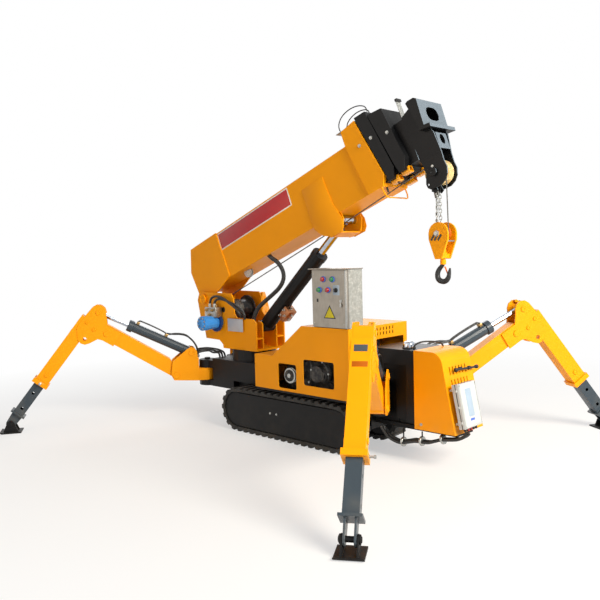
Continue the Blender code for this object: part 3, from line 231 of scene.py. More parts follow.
def hoseRubber():
    # Braided hydraulic hose with a wrapped rubber cover: satin black with a fine cloth mark.
    material, shader, place = twoTone("wrappedHoseRubber", linear("#121313"), linear("#202122"), (60.0, 0.35, 0.65),
                                      (30.0, 0.38, 0.55))
    weave = addNode(material, "TexVoronoi", {"Scale": 420.0}, {"Vector": place})  # 2.4 mm cloth mark
    addBump(material, shader, weave.outputs["Distance"], 0.25, 0.0008)
    return material


def castNylon():
    # Turned cast nylon: cream and waxy, darker where rope grease has rubbed in.
    return twoTone("castNylon", linear("#DCC690"), linear("#B8935A"), (24.0, 0.4, 0.75, 5.0), (50.0, 0.38, 0.55),
                   Subsurface_Weight=0.06, Subsurface_Scale=0.01)[0]


def forgedSteel():
    # Drop-forged hook steel, dipped black: a rough scale with a low sheen.
    material, shader, place = twoTone("blackenedForgedSteel", linear("#1B1C1E"), linear("#3A3C3E"),
                                      (60.0, 0.35, 0.7, 5.0), (45.0, 0.35, 0.55), Metallic=0.4)
    addGrain(material, shader, place, 160.0, 4.0, 0.25, 0.001)
    return material


def wireRope():
    # Galvanised wire rope with grease between the strands: grey metal broken up by dark.
    return twoTone("greasedWireRope", linear("#3B3A38"), linear("#85837E"), (140.0, 0.35, 0.65), (80.0, 0.4, 0.6),
                   Metallic=0.8)[0]


def castIron():
    # Engine castings, painted dark and oily: brown-black with pale rubbed patches.
    material, shader, place = twoTone("oilyCastIron", linear("#17171A"), linear("#55524D"), (22.0, 0.45, 0.75, 6.0),
                                      (30.0, 0.35, 0.7), Metallic=0.35)
    addGrain(material, shader, place, 200.0, 4.0, 0.35, 0.001)
    return material


def mouldedPlastic(name, colour, roughness=0.42, coat=0.0):
    # Injection-moulded plastic: an even colour with a fine spark-eroded grain.
    base = linear(colour)
    material, shader, place = twoTone(name, shade(base, 0.94), base, (8.0, 0.3, 0.7),
                                      (40.0, roughness - 0.06, roughness + 0.06), Coat_Weight=coat)
    addGrain(material, shader, place, 500.0, 1.0, 0.08, 0.0005)
    return material


def printedFilm(name, colour):
    # Vinyl film stuck on the paint: flat colour, a slight gloss, faint ripples where it was rubbed down.
    material, shader = newMaterial(name, Roughness=0.3)
    place = objectPlace(material)
    base = linear(colour)
    feed(material, blendColours(material, noiseShare(material, place, 12.0, 0.35, 0.65), shade(base, 0.92), base),
         shader, "Base Color")
    addGrain(material, shader, place, 30.0, 2.0, 0.05, 0.001)
    return material


boomAngle = math.radians(21.0)
boomPivot = Vector((-1.17, 0, 1.265))
boomAlong = Vector((math.cos(boomAngle), 0, math.sin(boomAngle)))

craneYellow = enamel("craneYellowEnamel", "#F6A000", 0.42, 0.0)
slateEnamel = enamel("slateGreyEnamel", "#39444E", 0.34, 0.15)
frameBlack = enamel("blackChassisEnamel", "#121315", 0.42, 0.0, dusty=0.04)
# Black enamel; the faces that point along the boom are painted slate grey: a painted highlight for the light on the
# head's front plates.
headBlack = enamel("blackHeadEnamelPaintedHighlight", "#121315", 0.4, 0.0, "#66727E", tuple(boomAlong))
motorBlue = enamel("blueMotorEnamel", "#3F93E6", 0.3, 0.2)
flangeBlue = enamel("darkBlueMotorEnamel", "#123A7C", 0.34, 0.2)
hoodOrange = enamel("orangePrimerEnamel", "#C95E0A", 0.45, 0.05)
chrome = chromedSteel()
stainless = brushedStainless()
galvanised = spangledSteel()
zinc = zincPlated()
brassy = zincPlated("yellowPassivatedSteel", "#A88A5A")
copper = zincPlated("copperPlatedSteel", "#A8714E")
brightYellow = enamel("glossYellowEnamel", "#F0A008", 0.2, 0.4)
trackBlack = trackRubber()
hoseBlack = hoseRubber()
nylon = castNylon()
hookSteel = forgedSteel()
ropeSteel = wireRope()
iron = castIron()
boxGrey = mouldedPlastic("paleGreyPolycarbonate", "#C3C8CA")
# A dark flat sheet for the slot in the outer arm: painted shade of the slot's inside.
slotShade = mouldedPlastic("slotShadeSheet", "#3A4246", 0.18, 0.5)
# A darker orange flat sheet for the recess in the outer arm: painted shade.
armPaintedShade = enamel("paintedShadeOrangeEnamel", "#B05A06", 0.5, 0.0)
sealBlack = mouldedPlastic("blackNylon", "#151618", 0.5)
lampRed = mouldedPlastic("redAcrylic", "#A01218", 0.2, 0.6)
lampGreen = mouldedPlastic("greenAcrylic", "#0E7A4A", 0.2, 0.6)
lampBlue = mouldedPlastic("blueAcrylic", "#3E63C8", 0.2, 0.6)
signRed = printedFilm("redVinylFilm", "#B3151C")
signWhite = printedFilm("whiteVinylFilm", "#E8E6E2")
labelGrey = printedFilm("silverPolyesterLabel", "#B9BEC8")
labelYellow = printedFilm("yellowVinylFilm", "#D2C408")
labelBlack = printedFilm("blackVinylFilm", "#1A1A12")
labelBlue = printedFilm("paleBlueVinylFilm", "#9FB2C6")

legFinishes = {"swing_bracket": craneYellow, "inner_arm": craneYellow, "outer_arm": craneYellow,
               "extension": slateEnamel, "foot": frameBlack, "cylinder": slateEnamel, "cylinder_rod": chrome}
nodeFinishes = {
    "main_frame": frameBlack, "left_track": trackBlack, "right_track": trackBlack,
    "left_track_frame": frameBlack, "right_track_frame": frameBlack, "hood": craneYellow, "engine": iron,
    "switch_box": galvanised, "switch_box_door": stainless, "tank": frameBlack, "rear_housing": craneYellow,
    "controller": boxGrey, "turret": craneYellow, "winch_drum": iron, "winch_motor": motorBlue,
    "derrick_cylinder": frameBlack, "derrick_rod": chrome, "boom_base": craneYellow,
    "boom_section_2": frameBlack, "boom_section_3": frameBlack, "boom_head": headBlack,
    "head_sheaves": nylon, "hook_block": craneYellow, "block_sheave": hoodOrange, "hoist_rope": ropeSteel,
    "hook": hookSteel}
for leg in legNames:
    for part, finish in legFinishes.items():
        nodeFinishes[leg + "_" + part] = finish

edgeRound = {"width": 0.0028, "segments": 2, "angle": 32.0, "merge": 0.00002}


def dressNode(name, finish):  # a better finish and softly rounded edges; the node's own mesh stays as it is
    node = nodes[name]
    node.data.materials.clear()
    node.data.materials.append(finish)
    weld = node.modifiers.new("weld", "WELD")
    weld.merge_threshold = edgeRound["merge"]
    bevel = node.modifiers.new("edges", "BEVEL")
    bevel.width = edgeRound["width"]
    bevel.segments = edgeRound["segments"]
    bevel.limit_method = "ANGLE"
    bevel.angle_limit = math.radians(edgeRound["angle"])
    bevel.use_clamp_overlap = True
    bevel.harden_normals = True


for name, finish in nodeFinishes.items():
    dressNode(name, finish)
print("finishes given to the frame's nodes")

# Modelling tools: a piece starts as a primitive at its place and is shaped in edit mode

pieceEdge = {"segments": 2, "angle": 30.0}
mergeDistance = 0.00002


def clearSelection():
    if bpy.context.object and bpy.context.object.mode != "OBJECT":
        bpy.ops.object.mode_set(mode="OBJECT")
    bpy.ops.object.select_all(action="DESELECT")


def pick(piece):
    clearSelection()
    piece.select_set(True)
    bpy.context.view_layer.objects.active = piece


def settle(piece, matrix=None):  # puts a piece's place into its mesh
    if matrix:
        piece.matrix_world = matrix @ piece.matrix_world
    pick(piece)
    bpy.ops.object.transform_apply(location=True, rotation=True, scale=True)
    return piece


def chooseFaces(piece, test):  # leaves the piece in edit mode, the faces that pass selected
    pick(piece)
    bpy.ops.object.mode_set(mode="EDIT")
    bpy.ops.mesh.select_mode(type="FACE")
    bpy.ops.mesh.select_all(action="DESELECT")
    bpy.ops.object.mode_set(mode="OBJECT")
    for face in piece.data.polygons:
        face.select = test(face.center, face.normal)
    bpy.ops.object.mode_set(mode="EDIT")


def fixNormals(piece):
    pick(piece)
    bpy.ops.object.mode_set(mode="EDIT")
    bpy.ops.mesh.select_all(action="SELECT")
    bpy.ops.mesh.remove_doubles(threshold=mergeDistance)
    bpy.ops.mesh.normals_make_consistent(inside=False)
    bpy.ops.object.mode_set(mode="OBJECT")
    return piece


def roundEdges(piece, width):
    pick(piece)
    bevel = piece.modifiers.new("edges", "BEVEL")
    bevel.width = width
    bevel.segments = pieceEdge["segments"]
    bevel.limit_method = "ANGLE"
    bevel.angle_limit = math.radians(pieceEdge["angle"])
    bpy.ops.object.modifier_apply(modifier="edges")
    return piece


def block(low, high, edge=0.002):  # a rounded block between two corners
    clearSelection()
    bpy.ops.mesh.primitive_cube_add(size=1.0, location=[(a + b) / 2 for a, b in zip(low, high)])
    piece = bpy.context.object
    piece.scale = [b - a for a, b in zip(low, high)]
    return roundEdges(settle(piece), edge)


def lathe(rings, sides=28):  # turned along Z: rings of (height, radius), each extruded from the last
    clearSelection()
    height, radius = rings[0]
    bpy.ops.mesh.primitive_circle_add(vertices=sides, radius=radius, fill_type="NGON", location=(0, 0, height))
    piece = settle(bpy.context.object)
    bpy.ops.object.mode_set(mode="EDIT")
    bpy.ops.mesh.select_all(action="SELECT")
    for (low, inner), (high, outer) in zip(rings, rings[1:]):
        bpy.ops.mesh.extrude_region_move(TRANSFORM_OT_translate={"value": (0, 0, high - low)})
        bpy.ops.transform.resize(value=(outer / inner, outer / inner, 1))
    bpy.ops.object.mode_set(mode="OBJECT")
    return fixNormals(piece)


def aimed(start, direction):  # the place of something made along Z, to point along direction from start
    turn = Vector(direction).to_track_quat("Z", "Y").to_matrix().to_4x4()
    return Matrix.Translation(start) @ turn


def turned(start, direction, rings, sides=28):
    return settle(lathe(rings, sides), aimed(start, direction))


def bar(start, end, radius, sides=20):  # a round bar with chamfered ends
    length = (Vector(end) - Vector(start)).length
    cut = min(radius * 0.25, length * 0.2)
    rings = ((0, radius - cut), (cut, radius), (length - cut, radius), (length, radius - cut))
    return turned(start, Vector(end) - Vector(start), rings, sides)


def plateFrom(outline, depth, edge=0.0):  # a flat outline in XZ, made depth thick towards -Y
    clearSelection()
    bpy.ops.mesh.primitive_circle_add(vertices=len(outline), radius=1.0, fill_type="NGON")
    piece = bpy.context.object
    for vertex, (x, z) in zip(piece.data.vertices, outline):
        vertex.co = (x, 0, z)
    pick(piece)
    bpy.ops.object.mode_set(mode="EDIT")
    bpy.ops.mesh.select_all(action="SELECT")
    bpy.ops.mesh.extrude_region_move(TRANSFORM_OT_translate={"value": (0, -depth, 0)})
    bpy.ops.object.mode_set(mode="OBJECT")
    fixNormals(piece)
    return roundEdges(piece, edge) if edge else piece


def roundLine(line, radius, steps, rough):
    line.data.dimensions = "3D"
    line.data.resolution_u = steps
    line.data.bevel_depth = radius
    line.data.bevel_resolution = rough
    line.data.use_fill_caps = True
    return line


def runLine(points, radius, steps=10, rough=3, swell=None):  # a round line through points, as thick as swell says
    clearSelection()
    bpy.ops.curve.primitive_bezier_curve_add(location=(0, 0, 0))
    line = bpy.context.object
    spline = line.data.splines[0]
    spline.bezier_points.add(len(points) - 2)
    for knot, place, thick in zip(spline.bezier_points, points, swell or [radius] * len(points)):
        knot.co = place
        knot.radius = thick / radius
    for knot in spline.bezier_points:
        knot.handle_left_type = knot.handle_right_type = "AUTO"
    return roundLine(line, radius, steps, rough)


def asMesh(line):
    pick(line)
    bpy.ops.object.convert(target="MESH")
    return fixNormals(bpy.context.object)


def copyOf(piece, matrix=None):  # a copy with its own mesh, moved by matrix
    twin = bpy.data.objects.new(piece.name, piece.data.copy())
    bpy.context.scene.collection.objects.link(twin)
    if matrix:
        twin.matrix_world = matrix
        settle(twin)
    return twin


def joined(pieces):
    clearSelection()
    for piece in pieces:
        piece.select_set(True)
    bpy.context.view_layer.objects.active = pieces[0]
    if len(pieces) > 1:
        bpy.ops.object.join()
    return bpy.context.view_layer.objects.active


def repeated(master, places):  # one master copied to many places, joined, and the master dropped
    copies = [copyOf(master, place) for place in places]
    bpy.data.objects.remove(master, do_unlink=True)
    return joined(copies)


def hand(piece, name, finish, body, smooth=35.0):  # names, finishes and hands a piece to its body
    pick(piece)
    piece.name = name
    piece.data.name = name
    piece.data.materials.clear()
    piece.data.materials.append(finish)
    bpy.ops.object.shade_smooth_by_angle(angle=math.radians(smooth))
    if body:
        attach(piece, body)
    return piece


def boltHead(size):  # a hexagon head on its washer, along Z
    washer = lathe(((0, size * 1.18), (size * 0.16, size * 1.18), (size * 0.22, size * 1.05)), 20)
    head = lathe(((size * 0.22, size), (size * 0.75, size), (size * 0.9, size * 0.86)), 6)
    return joined([head, washer])


boomFrame = Matrix.Translation(boomPivot) @ Matrix.Rotation(-boomAngle, 4, "Y")
legSpread = math.radians(57.5)
legSigns = {"front_left": (-1, -1), "front_right": (-1, 1), "rear_left": (1, -1), "rear_right": (1, 1)}


def legFrame(leg):
    along, across = legSigns[leg]
    turn = math.atan2(across * math.sin(legSpread), along * math.cos(legSpread))
    return Matrix.Translation((along * 1.163, across * 0.19, 0)) @ Matrix.Rotation(turn, 4, "Z")


def quarterPoint(leg, outward, up, sideways=0.0):  # a place in or beside a leg's own plane, mirrored with the leg
    along, across = legSigns[leg]
    x = 1.163 + outward * math.cos(legSpread) - sideways * math.sin(legSpread)
    y = 0.19 + outward * math.sin(legSpread) + sideways * math.cos(legSpread)
    return (along * x, across * y, up)


def smoothPoints(knots, spacing=0.012):  # points close together on a smooth curve through the knots
    knots = [Vector(k) for k in knots]
    padded = [knots[0] * 2 - knots[1], *knots, knots[-1] * 2 - knots[-2]]
    points = []
    for a, b, c, d in zip(padded, padded[1:], padded[2:], padded[3:]):
        steps = max(2, int((c - b).length / spacing))
        for i in range(steps):
            t = i / steps
            points.append(0.5 * (2 * b + (c - a) * t + (2 * a - 5 * b + 4 * c - d) * t ** 2
                                 + (3 * b - a - 3 * c + d) * t ** 3))
    return [*points, knots[-1]]


def hose(name, knots, radius, body, other=None, ribbed=False):
    # A hose on a smooth line through its knots; with a second body it is given to no body and its place is put into
    # its mesh.
    points = smoothPoints(knots, 0.004 if ribbed else 0.012)
    clearSelection()
    bpy.ops.curve.primitive_bezier_curve_add(location=(0, 0, 0))
    line = bpy.context.object
    line.data.splines.clear()
    spline = line.data.splines.new("POLY")
    spline.points.add(len(points) - 1)
    for i, place in enumerate(points):
        spline.points[i].co = (*place, 1)
        spline.points[i].radius = 1.0 if not ribbed or i % 3 else 0.86
    roundLine(line, radius, 12, 4 if ribbed else 3)
    piece = hand(asMesh(line), name, hoseBlack, None if other else body)
    if other:
        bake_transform(piece)
    return piece


def ferrule(place, direction, radius, length=0.035):  # a swaged hose end with its nut
    rings = ((0, radius * 1.25), (length * 0.35, radius * 1.25), (length * 0.4, radius * 1.6),
             (length * 0.75, radius * 1.6), (length * 0.8, radius * 1.3), (length, radius * 1.2))
    return turned(place, direction, rings, 12)


print("tools ready")


# Steel box: rain lip, lamps, selector switch, latch with its key, blank warning triangle

doorLook = {"left": 0.612, "top": 1.584, "wide": 0.396, "tall": 0.492, "face": -0.414, "lampRadius": 0.021,
            "lamps": (("redLampTop", 0.34, 0.16, lampRed), ("greenLampTop", 0.60, 0.16, lampGreen),
                      ("greenLampLow", 0.22, 0.345, lampGreen), ("redLampLow", 0.47, 0.345, lampRed)),
            "knob": (0.70, 0.345), "latch": (0.83, 0.53),
            "rivets": ((0.90, 0.93), (0.05, 0.93), (0.05, 0.07), (0.90, 0.07)),
            "key": ((-0.004, 0), (0.004, 0), (0.004, -0.022), (0.011, -0.030), (0.011, -0.046), (0, -0.053),
                    (-0.011, -0.046), (-0.011, -0.030), (-0.004, -0.022)),
            "triangle": {"foot": 0.84, "peak": 0.607, "half": 0.067}}


def onDoor(across, down, out=0.0):
    return (doorLook["left"] + across * doorLook["wide"], doorLook["face"] - out,
            doorLook["top"] - down * doorLook["tall"])


def dressSteelBox():
    lip = block((0.588, -0.438, 1.5885), (1.018, -0.208, 1.5965), 0.002)
    chooseFaces(lip, lambda centre, normal: normal.z < -0.9)  # a narrow rim round the underside
    bpy.ops.mesh.inset(thickness=0.004)
    bpy.ops.object.mode_set(mode="OBJECT")
    hand(lip, "boxRainLip", stainless, "chassis")
    out = (0, -1, 0)
    size = doorLook["lampRadius"]
    bezel = lathe(((0, size * 1.28), (0.006, size * 1.28), (0.009, size * 1.15), (0.010, size)), 32)
    lens = lathe(((0.008, size * 0.97), (0.020, size * 0.97), (0.026, size * 0.85), (0.030, size * 0.5),
                  (0.031, size * 0.1)), 32)
    places = []
    for name, across, down, finish in doorLook["lamps"]:
        place = aimed(onDoor(across, down), out)
        places.append(place)
        hand(copyOf(lens, place), name, finish, "box_door")
    bpy.data.objects.remove(lens, do_unlink=True)
    hand(repeated(bezel, places), "lampBezels", lampBlue, "box_door")
    plate = block(onDoor(0.61, 0.43, 0.0015), onDoor(0.79, 0.26), 0.0006)
    hand(plate, "selectorPlate", labelBlue, "box_door")
    knob = turned(onDoor(*doorLook["knob"]), out, ((0, 0.019), (0.010, 0.019), (0.012, 0.016), (0.016, 0.016)), 28)
    grip = block(onDoor(0.685, 0.375, 0.030), onDoor(0.715, 0.315, 0.012), 0.002)
    hand(joined([knob, grip]), "selectorKnob", sealBlack, "box_door")
    latch = turned(onDoor(*doorLook["latch"]), out, ((0, 0.014), (0.003, 0.014), (0.005, 0.011), (0.010, 0.011)), 24)
    key = settle(plateFrom(doorLook["key"], 0.002, 0.0005), Matrix.Translation(onDoor(*doorLook["latch"], 0.010)))
    hand(joined([latch, key]), "boxLatch", zinc, "box_door")
    # A thin black sheet on the door where it is recessed: painted shade for the recess.
    mark = block(onDoor(0.135, 0.56, 0.002), onDoor(0.18, 0.50), 0.0005)
    hand(mark, "latchRecessShade", sealBlack, "box_door")
    triangle = doorLook["triangle"]
    (middle, face, foot), peak = onDoor(0.5, triangle["foot"]), onDoor(0.5, triangle["peak"])[2]
    for name, shrink, depth, finish in (("triangleEdge", 0.0, 0.0008, labelBlack),
                                        ("triangleFace", 0.008, 0.0012, labelYellow)):
        half = triangle["half"] - shrink * 1.7
        sign = plateFrom([(-half, foot + shrink), (half, foot + shrink), (0, peak - shrink * 2)], depth)
        hand(settle(sign, Matrix.Translation((middle, face, 0))), name, finish, "box_door")
    fold = block((0.986, -0.4185, 1.094), (1.0075, -0.413, 1.582), 0.0015)
    hand(fold, "doorFold", zinc, "box_door")
    rivet = lathe(((0, 0.005), (0.0015, 0.0045), (0.0025, 0.002)), 12)
    hand(repeated(rivet, [aimed(onDoor(*spot), out) for spot in doorLook["rivets"]]), "doorRivets", zinc, "box_door")


dressSteelBox()
print("steel box dressed")

# Boom: blank sign, collar bolts, rope guides, hoop, cables and the rope's run

boomLook = {"side": 0.155, "sign": (0.43, 1.55, 0.385, 0.565), "border": 0.012,
            "collarBolts": ((2.49, 0.50, 0.172, "boom"), (2.621, 0.505, 0.170, "section_2"),
                            (2.786, 0.466, 0.168, "section_3")),
            "guides": ((2.645, 2.735, 0.068, 0.122, "section_2"), (2.765, 2.850, 0.088, 0.140, "section_3")),
            "hoop": ((2.56, 0.156, 0.16), (2.565, 0.164, 0.10), (2.575, 0.150, 0.002), (2.577, 0.135, -0.012),
                     (2.577, 0.08, -0.014)),
            "web": ((1.718, 0.45), (1.72, 0.138), (1.732, 0.053), (1.80, -0.03), (1.90, -0.083), (2.028, -0.083),
                    (2.062, -0.045), (2.068, 0.03), (2.019, 0.178), (2.004, 0.30), (1.994, 0.459)),
            "webDepth": 0.007, "lugPin": (1.981, 0.046), "reel": (-0.615, -0.028, 1.548), "ropeRadius": 0.0055,
            "cableRadius": 0.0048,  # the two cables over the collar: across, then along and up
            "cables": {"limitCableNear": (-0.135, ((2.330, 0.714), (2.318, 0.748), (2.328, 0.792), (2.368, 0.830),
                                                   (2.430, 0.850), (2.500, 0.852), (2.570, 0.836), (2.625, 0.805),
                                                   (2.645, 0.775), (2.648, 0.741))),
                       "limitCableFar": (-0.085, ((2.365, 0.716), (2.362, 0.745), (2.385, 0.780), (2.435, 0.805),
                                                  (2.500, 0.814), (2.560, 0.806), (2.605, 0.788), (2.628, 0.765),
                                                  (2.630, 0.741)))}}


def boomBlock(low, high, edge=0.002):  # a block in the boom's own frame: along, across, up
    return settle(block(low, high, edge), boomFrame)


def dressBoom():
    u0, u1, v0, v1 = boomLook["sign"]
    side, rim = boomLook["side"], boomLook["border"]
    for sideName, across in (("Near", -1), ("Far", 1)):
        for name, cut, depth, finish in (("signBorder", 0.0, 0.0009, signWhite),
                                         ("signField", rim, 0.0014, signRed)):
            low = min(across * side, across * (side + depth))
            sheet = boomBlock((u0 + cut, low, v0 + cut), (u1 - cut, low + depth, v1 - cut), 0.0003)
            hand(sheet, name + sideName, finish, "boom")
    bolt = boltHead(0.013)
    for along, up, across, body in boomLook["collarBolts"]:
        places = [boomFrame @ aimed((along, s * across, up), (0, s, 0)) for s in (-1, 1)]
        copies = [copyOf(bolt, place) for place in places]
        hand(joined(copies), body + "CollarBolts", zinc, body)
    bpy.data.objects.remove(bolt, do_unlink=True)
    for along0, along1, up0, up1, body in boomLook["guides"]:
        boxes = []
        for s in (-1, 1):
            low = min(s * 0.070, s * 0.128)
            box = block((along0, low, up0), (along1, low + 0.058, up1), 0.003)
            chooseFaces(box, lambda centre, normal: normal.x > 0.9 and normal.y ** 2 < 0.1)
            bpy.ops.mesh.inset(thickness=0.007)
            bpy.ops.mesh.extrude_region_move(TRANSFORM_OT_translate={"value": (-0.02, 0, 0)})
            bpy.ops.object.mode_set(mode="OBJECT")
            boxes.append(settle(box, boomFrame))
        hand(joined(boxes), body + "RopeGuides", brightYellow, body)
    rods = [bar(boomFrame @ Vector((u, -0.105, a)), boomFrame @ Vector((u, -0.105, b)), 0.009, 16)
            for u, a, b in ((2.575, 0.165, 0.035), (2.70, 0.168, 0.06))]
    hand(rods[0], "frontGuideRod", sealBlack, "boom")
    hand(rods[1], "secondGuideRod", sealBlack, "section_2")
    half = boomLook["hoop"]
    bend = [*half, *[(u, -across, v) for u, across, v in reversed(half)]]
    hoop = asMesh(runLine([boomFrame @ Vector(p) for p in bend], 0.006, 8))
    hand(hoop, "ropeHoop", craneYellow, "boom")
    u, v = boomLook["lugPin"]
    sleeve = [bar(boomFrame @ Vector((u, s * 0.052, v)), boomFrame @ Vector((u, s * 0.118, v)), 0.036, 32)
              for s in (-1, 1)]
    hand(joined(sleeve), "lugPinSleeves", chrome, "boom")
    deep = boomLook["webDepth"]
    for s in (-1, 1):  # welded cheek that carries the cylinder's lug up the side of the boom
        low = min(s * side, s * (side + deep))
        cheek = settle(plateFrom(boomLook["web"], deep, 0.0015), boomFrame @ Matrix.Translation((0, low + deep, 0)))
        hand(cheek, "lugCheek" + ("Near" if s < 0 else "Far"), craneYellow, "boom")
    reel = lathe(((0, 0.050), (0.006, 0.052), (0.008, 0.030), (0.030, 0.030), (0.032, 0.052), (0.038, 0.050),
                  (0.040, 0.016), (0.044, 0.014)), 32)
    x, y, z = boomLook["reel"]
    hand(settle(reel, aimed((x, y, z), (0, -1, 0))), "cableReel", boxGrey, "boom")
    reelArm = bar((x, y - 0.032, z), (x, y - 0.032, z + 0.052), 0.008, 12)
    hand(reelArm, "reelArm", craneYellow, "boom")
    stop = boomBlock((1.90, -0.115, -0.066), (1.98, -0.06, -0.018), 0.004)
    hand(stop, "lugStopBlock", sealBlack, "boom")
    base = boomBlock((2.285, -0.168, 0.7085), (2.385, -0.070, 0.7135), 0.0015)
    hand(base, "cableAnchorPlate", zinc, "boom")


dressBoom()
print("boom dressed")


def stretch(name, a, b, bodyA, bodyB):
    # A taut stretch of rope between two places in the boom's frame. With two bodies it is given to no body and its
    # place is put into its mesh.
    first, last = boomFrame @ Vector(a), boomFrame @ Vector(b)
    count = max(2, int((last - first).length / 0.1))
    points = [first.lerp(last, i / count) for i in range(count + 1)]
    piece = hand(asMesh(runLine(points, boomLook["ropeRadius"], 1, 2)), name, ropeSteel,
                 None if bodyB else bodyA)
    if bodyB:
        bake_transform(piece)


headLook = {"axle": (3.02, 0.0), "axleEnd": 0.090, "sheaveRope": 0.083,
            "chainTop": (1.640, 0.0, 2.196), "chainFoot": (1.636, 0.0, 1.946),
            "linkWire": 0.0036, "linkWidth": 0.0105, "linkStretch": 0.0065,
            "bracket": ((1.598, 2.300), (1.674, 2.300), (1.668, 2.240), (1.652, 2.184), (1.628, 2.184),
                        (1.604, 2.238))}


def ropeAt(along):  # the rope's straight run in the boom's frame, from the lug's sleeve to the head sheave
    start, end = boomLook["lugPin"][0], headLook["axle"][0]
    share = (along - start) / (end - start)
    return (along, -0.060 + share * 0.029, 0.006 + share * 0.076)


def runRope():
    drum = (0.200, -0.110, -0.083)  # where the rope leaves the drum
    stretch("ropeFromDrum", drum, (1.20, -0.083, -0.035), "turret", "boom")
    stretch("ropeAlongBoom", (1.20, -0.083, -0.035), (1.981, -0.060, 0.006), "boom", None)
    stretch("ropeUnderFront", ropeAt(1.981), ropeAt(2.20), "boom", None)
    stretch("ropeToSectionTwo", ropeAt(2.20), ropeAt(2.62), "boom", "section_2")
    stretch("ropeToSectionThree", ropeAt(2.62), ropeAt(2.74), "section_2", "section_3")
    stretch("ropeToHead", ropeAt(2.74), ropeAt(2.90), "section_3", "head")
    u, v = headLook["axle"]
    centre = boomFrame @ Vector((u, -0.031, v))
    over = [boomFrame @ Vector(ropeAt(2.90))]
    for degrees in range(100, -22, -8):  # over the sheave and down its front
        angle = math.radians(degrees)
        over.append(centre + headLook["sheaveRope"] * Vector((math.cos(angle), 0, math.sin(angle))))
    hand(asMesh(runLine(over, boomLook["ropeRadius"], 2, 2)), "ropeOverSheave", ropeSteel, "head")


runRope()
print("rope run along the boom")


# Turret: winch windings, motor, valve block, hoses, pivot caps

turretLook = {"drum": (-0.86, 1.165), "windings": 12, "drumRadius": 0.094, "rope": 0.0055,
              "valveLow": (-1.053, -0.288, 1.088), "valveHigh": (-0.872, -0.2045, 1.193),
              "motorAxis": (-0.95, 1.035), "motorEnd": -0.4105}


def windRope():  # rings of rope side by side on the drum
    x, z = turretLook["drum"]
    rings = []
    clearSelection()
    for i in range(turretLook["windings"]):
        across = -0.125 + i * 0.0115
        bpy.ops.mesh.primitive_torus_add(location=(x, across, z), rotation=(math.pi / 2, 0, 0), major_segments=40,
                                         minor_segments=8, major_radius=turretLook["drumRadius"],
                                         minor_radius=turretLook["rope"])
        rings.append(settle(bpy.context.object))
    hand(joined(rings), "ropeWindings", ropeSteel, "winch")


def dressTurret():
    low, high = turretLook["valveLow"], turretLook["valveHigh"]
    valve = block(low, high, 0.003)
    chooseFaces(valve, lambda centre, normal: normal.y < -0.9)
    bpy.ops.mesh.inset(thickness=0.006)
    bpy.ops.mesh.extrude_region_move(TRANSFORM_OT_translate={"value": (0, -0.004, 0)})
    bpy.ops.object.mode_set(mode="OBJECT")
    hand(valve, "winchValveBlock", zinc, "turret")
    plug = lathe(((0, 0.015), (0.006, 0.015), (0.008, 0.011), (0.022, 0.011), (0.026, 0.008)), 6)
    x, y, z = low[0], low[1], high[2]
    spots = [aimed((x + 0.035, y + 0.042, z), (0, 0, 1)), aimed((x + 0.145, y + 0.042, z), (0, 0, 1)),
             aimed((x + 0.04, y - 0.004, z - 0.03), (0, -1, 0)), aimed((x + 0.13, y - 0.004, z - 0.03), (0, -1, 0)),
             aimed((x + 0.085, y - 0.004, z - 0.075), (0, -1, 0)), aimed((x, y + 0.04, z - 0.05), (-1, 0, 0))]
    hand(repeated(plug, spots), "winchValvePlugs", brassy, "turret")
    mx, mz = turretLook["motorAxis"]
    end = turretLook["motorEnd"]
    cap = turned((mx, end, mz), (0, -1, 0), ((0, 0.073), (0.006, 0.073), (0.010, 0.068), (0.010, 0.044),
                                             (0.016, 0.040), (0.020, 0.030), (0.020, 0.006)), 40)
    hand(cap, "winchMotorCap", motorBlue, "turret")
    ring = turned((mx, -0.2185, mz), (0, -1, 0), ((0, 0.100), (0.014, 0.100), (0.018, 0.096), (0.018, 0.078)), 44)
    hand(ring, "winchMotorFlange", flangeBlue, "turret")
    bolt = boltHead(0.0075)
    bolts = [aimed((mx + 0.057 * math.cos(a), end - 0.010, mz + 0.057 * math.sin(a)), (0, -1, 0))
             for a in [math.radians(22.5 + 45 * i) for i in range(8)]]
    hand(repeated(bolt, bolts), "winchMotorBolts", zinc, "turret")
    disc = lathe(((0, 0.052), (0.010, 0.052), (0.013, 0.049), (0.013, 0.030), (0.009, 0.027), (0.009, 0.005)), 40)
    hand(repeated(disc, [aimed((boomPivot.x, s * 0.2185, boomPivot.z), (0, s, 0)) for s in (-1, 1)]),
         "boomPinCaps", craneYellow, "turret")
    label = block((-0.771, -0.2205, 0.952), (-0.538, -0.2175, 1.082), 0.0008)
    hand(label, "blankPostPlate", labelGrey, "turret")
    rivet = lathe(((0, 0.004), (0.001, 0.0036), (0.002, 0.0015)), 10)
    hand(repeated(rivet, [aimed((a, -0.2205, b), (0, -1, 0)) for a in (-0.762, -0.547) for b in (0.961, 1.073)]),
         "postPlateRivets", zinc, "turret")


windRope()
dressTurret()


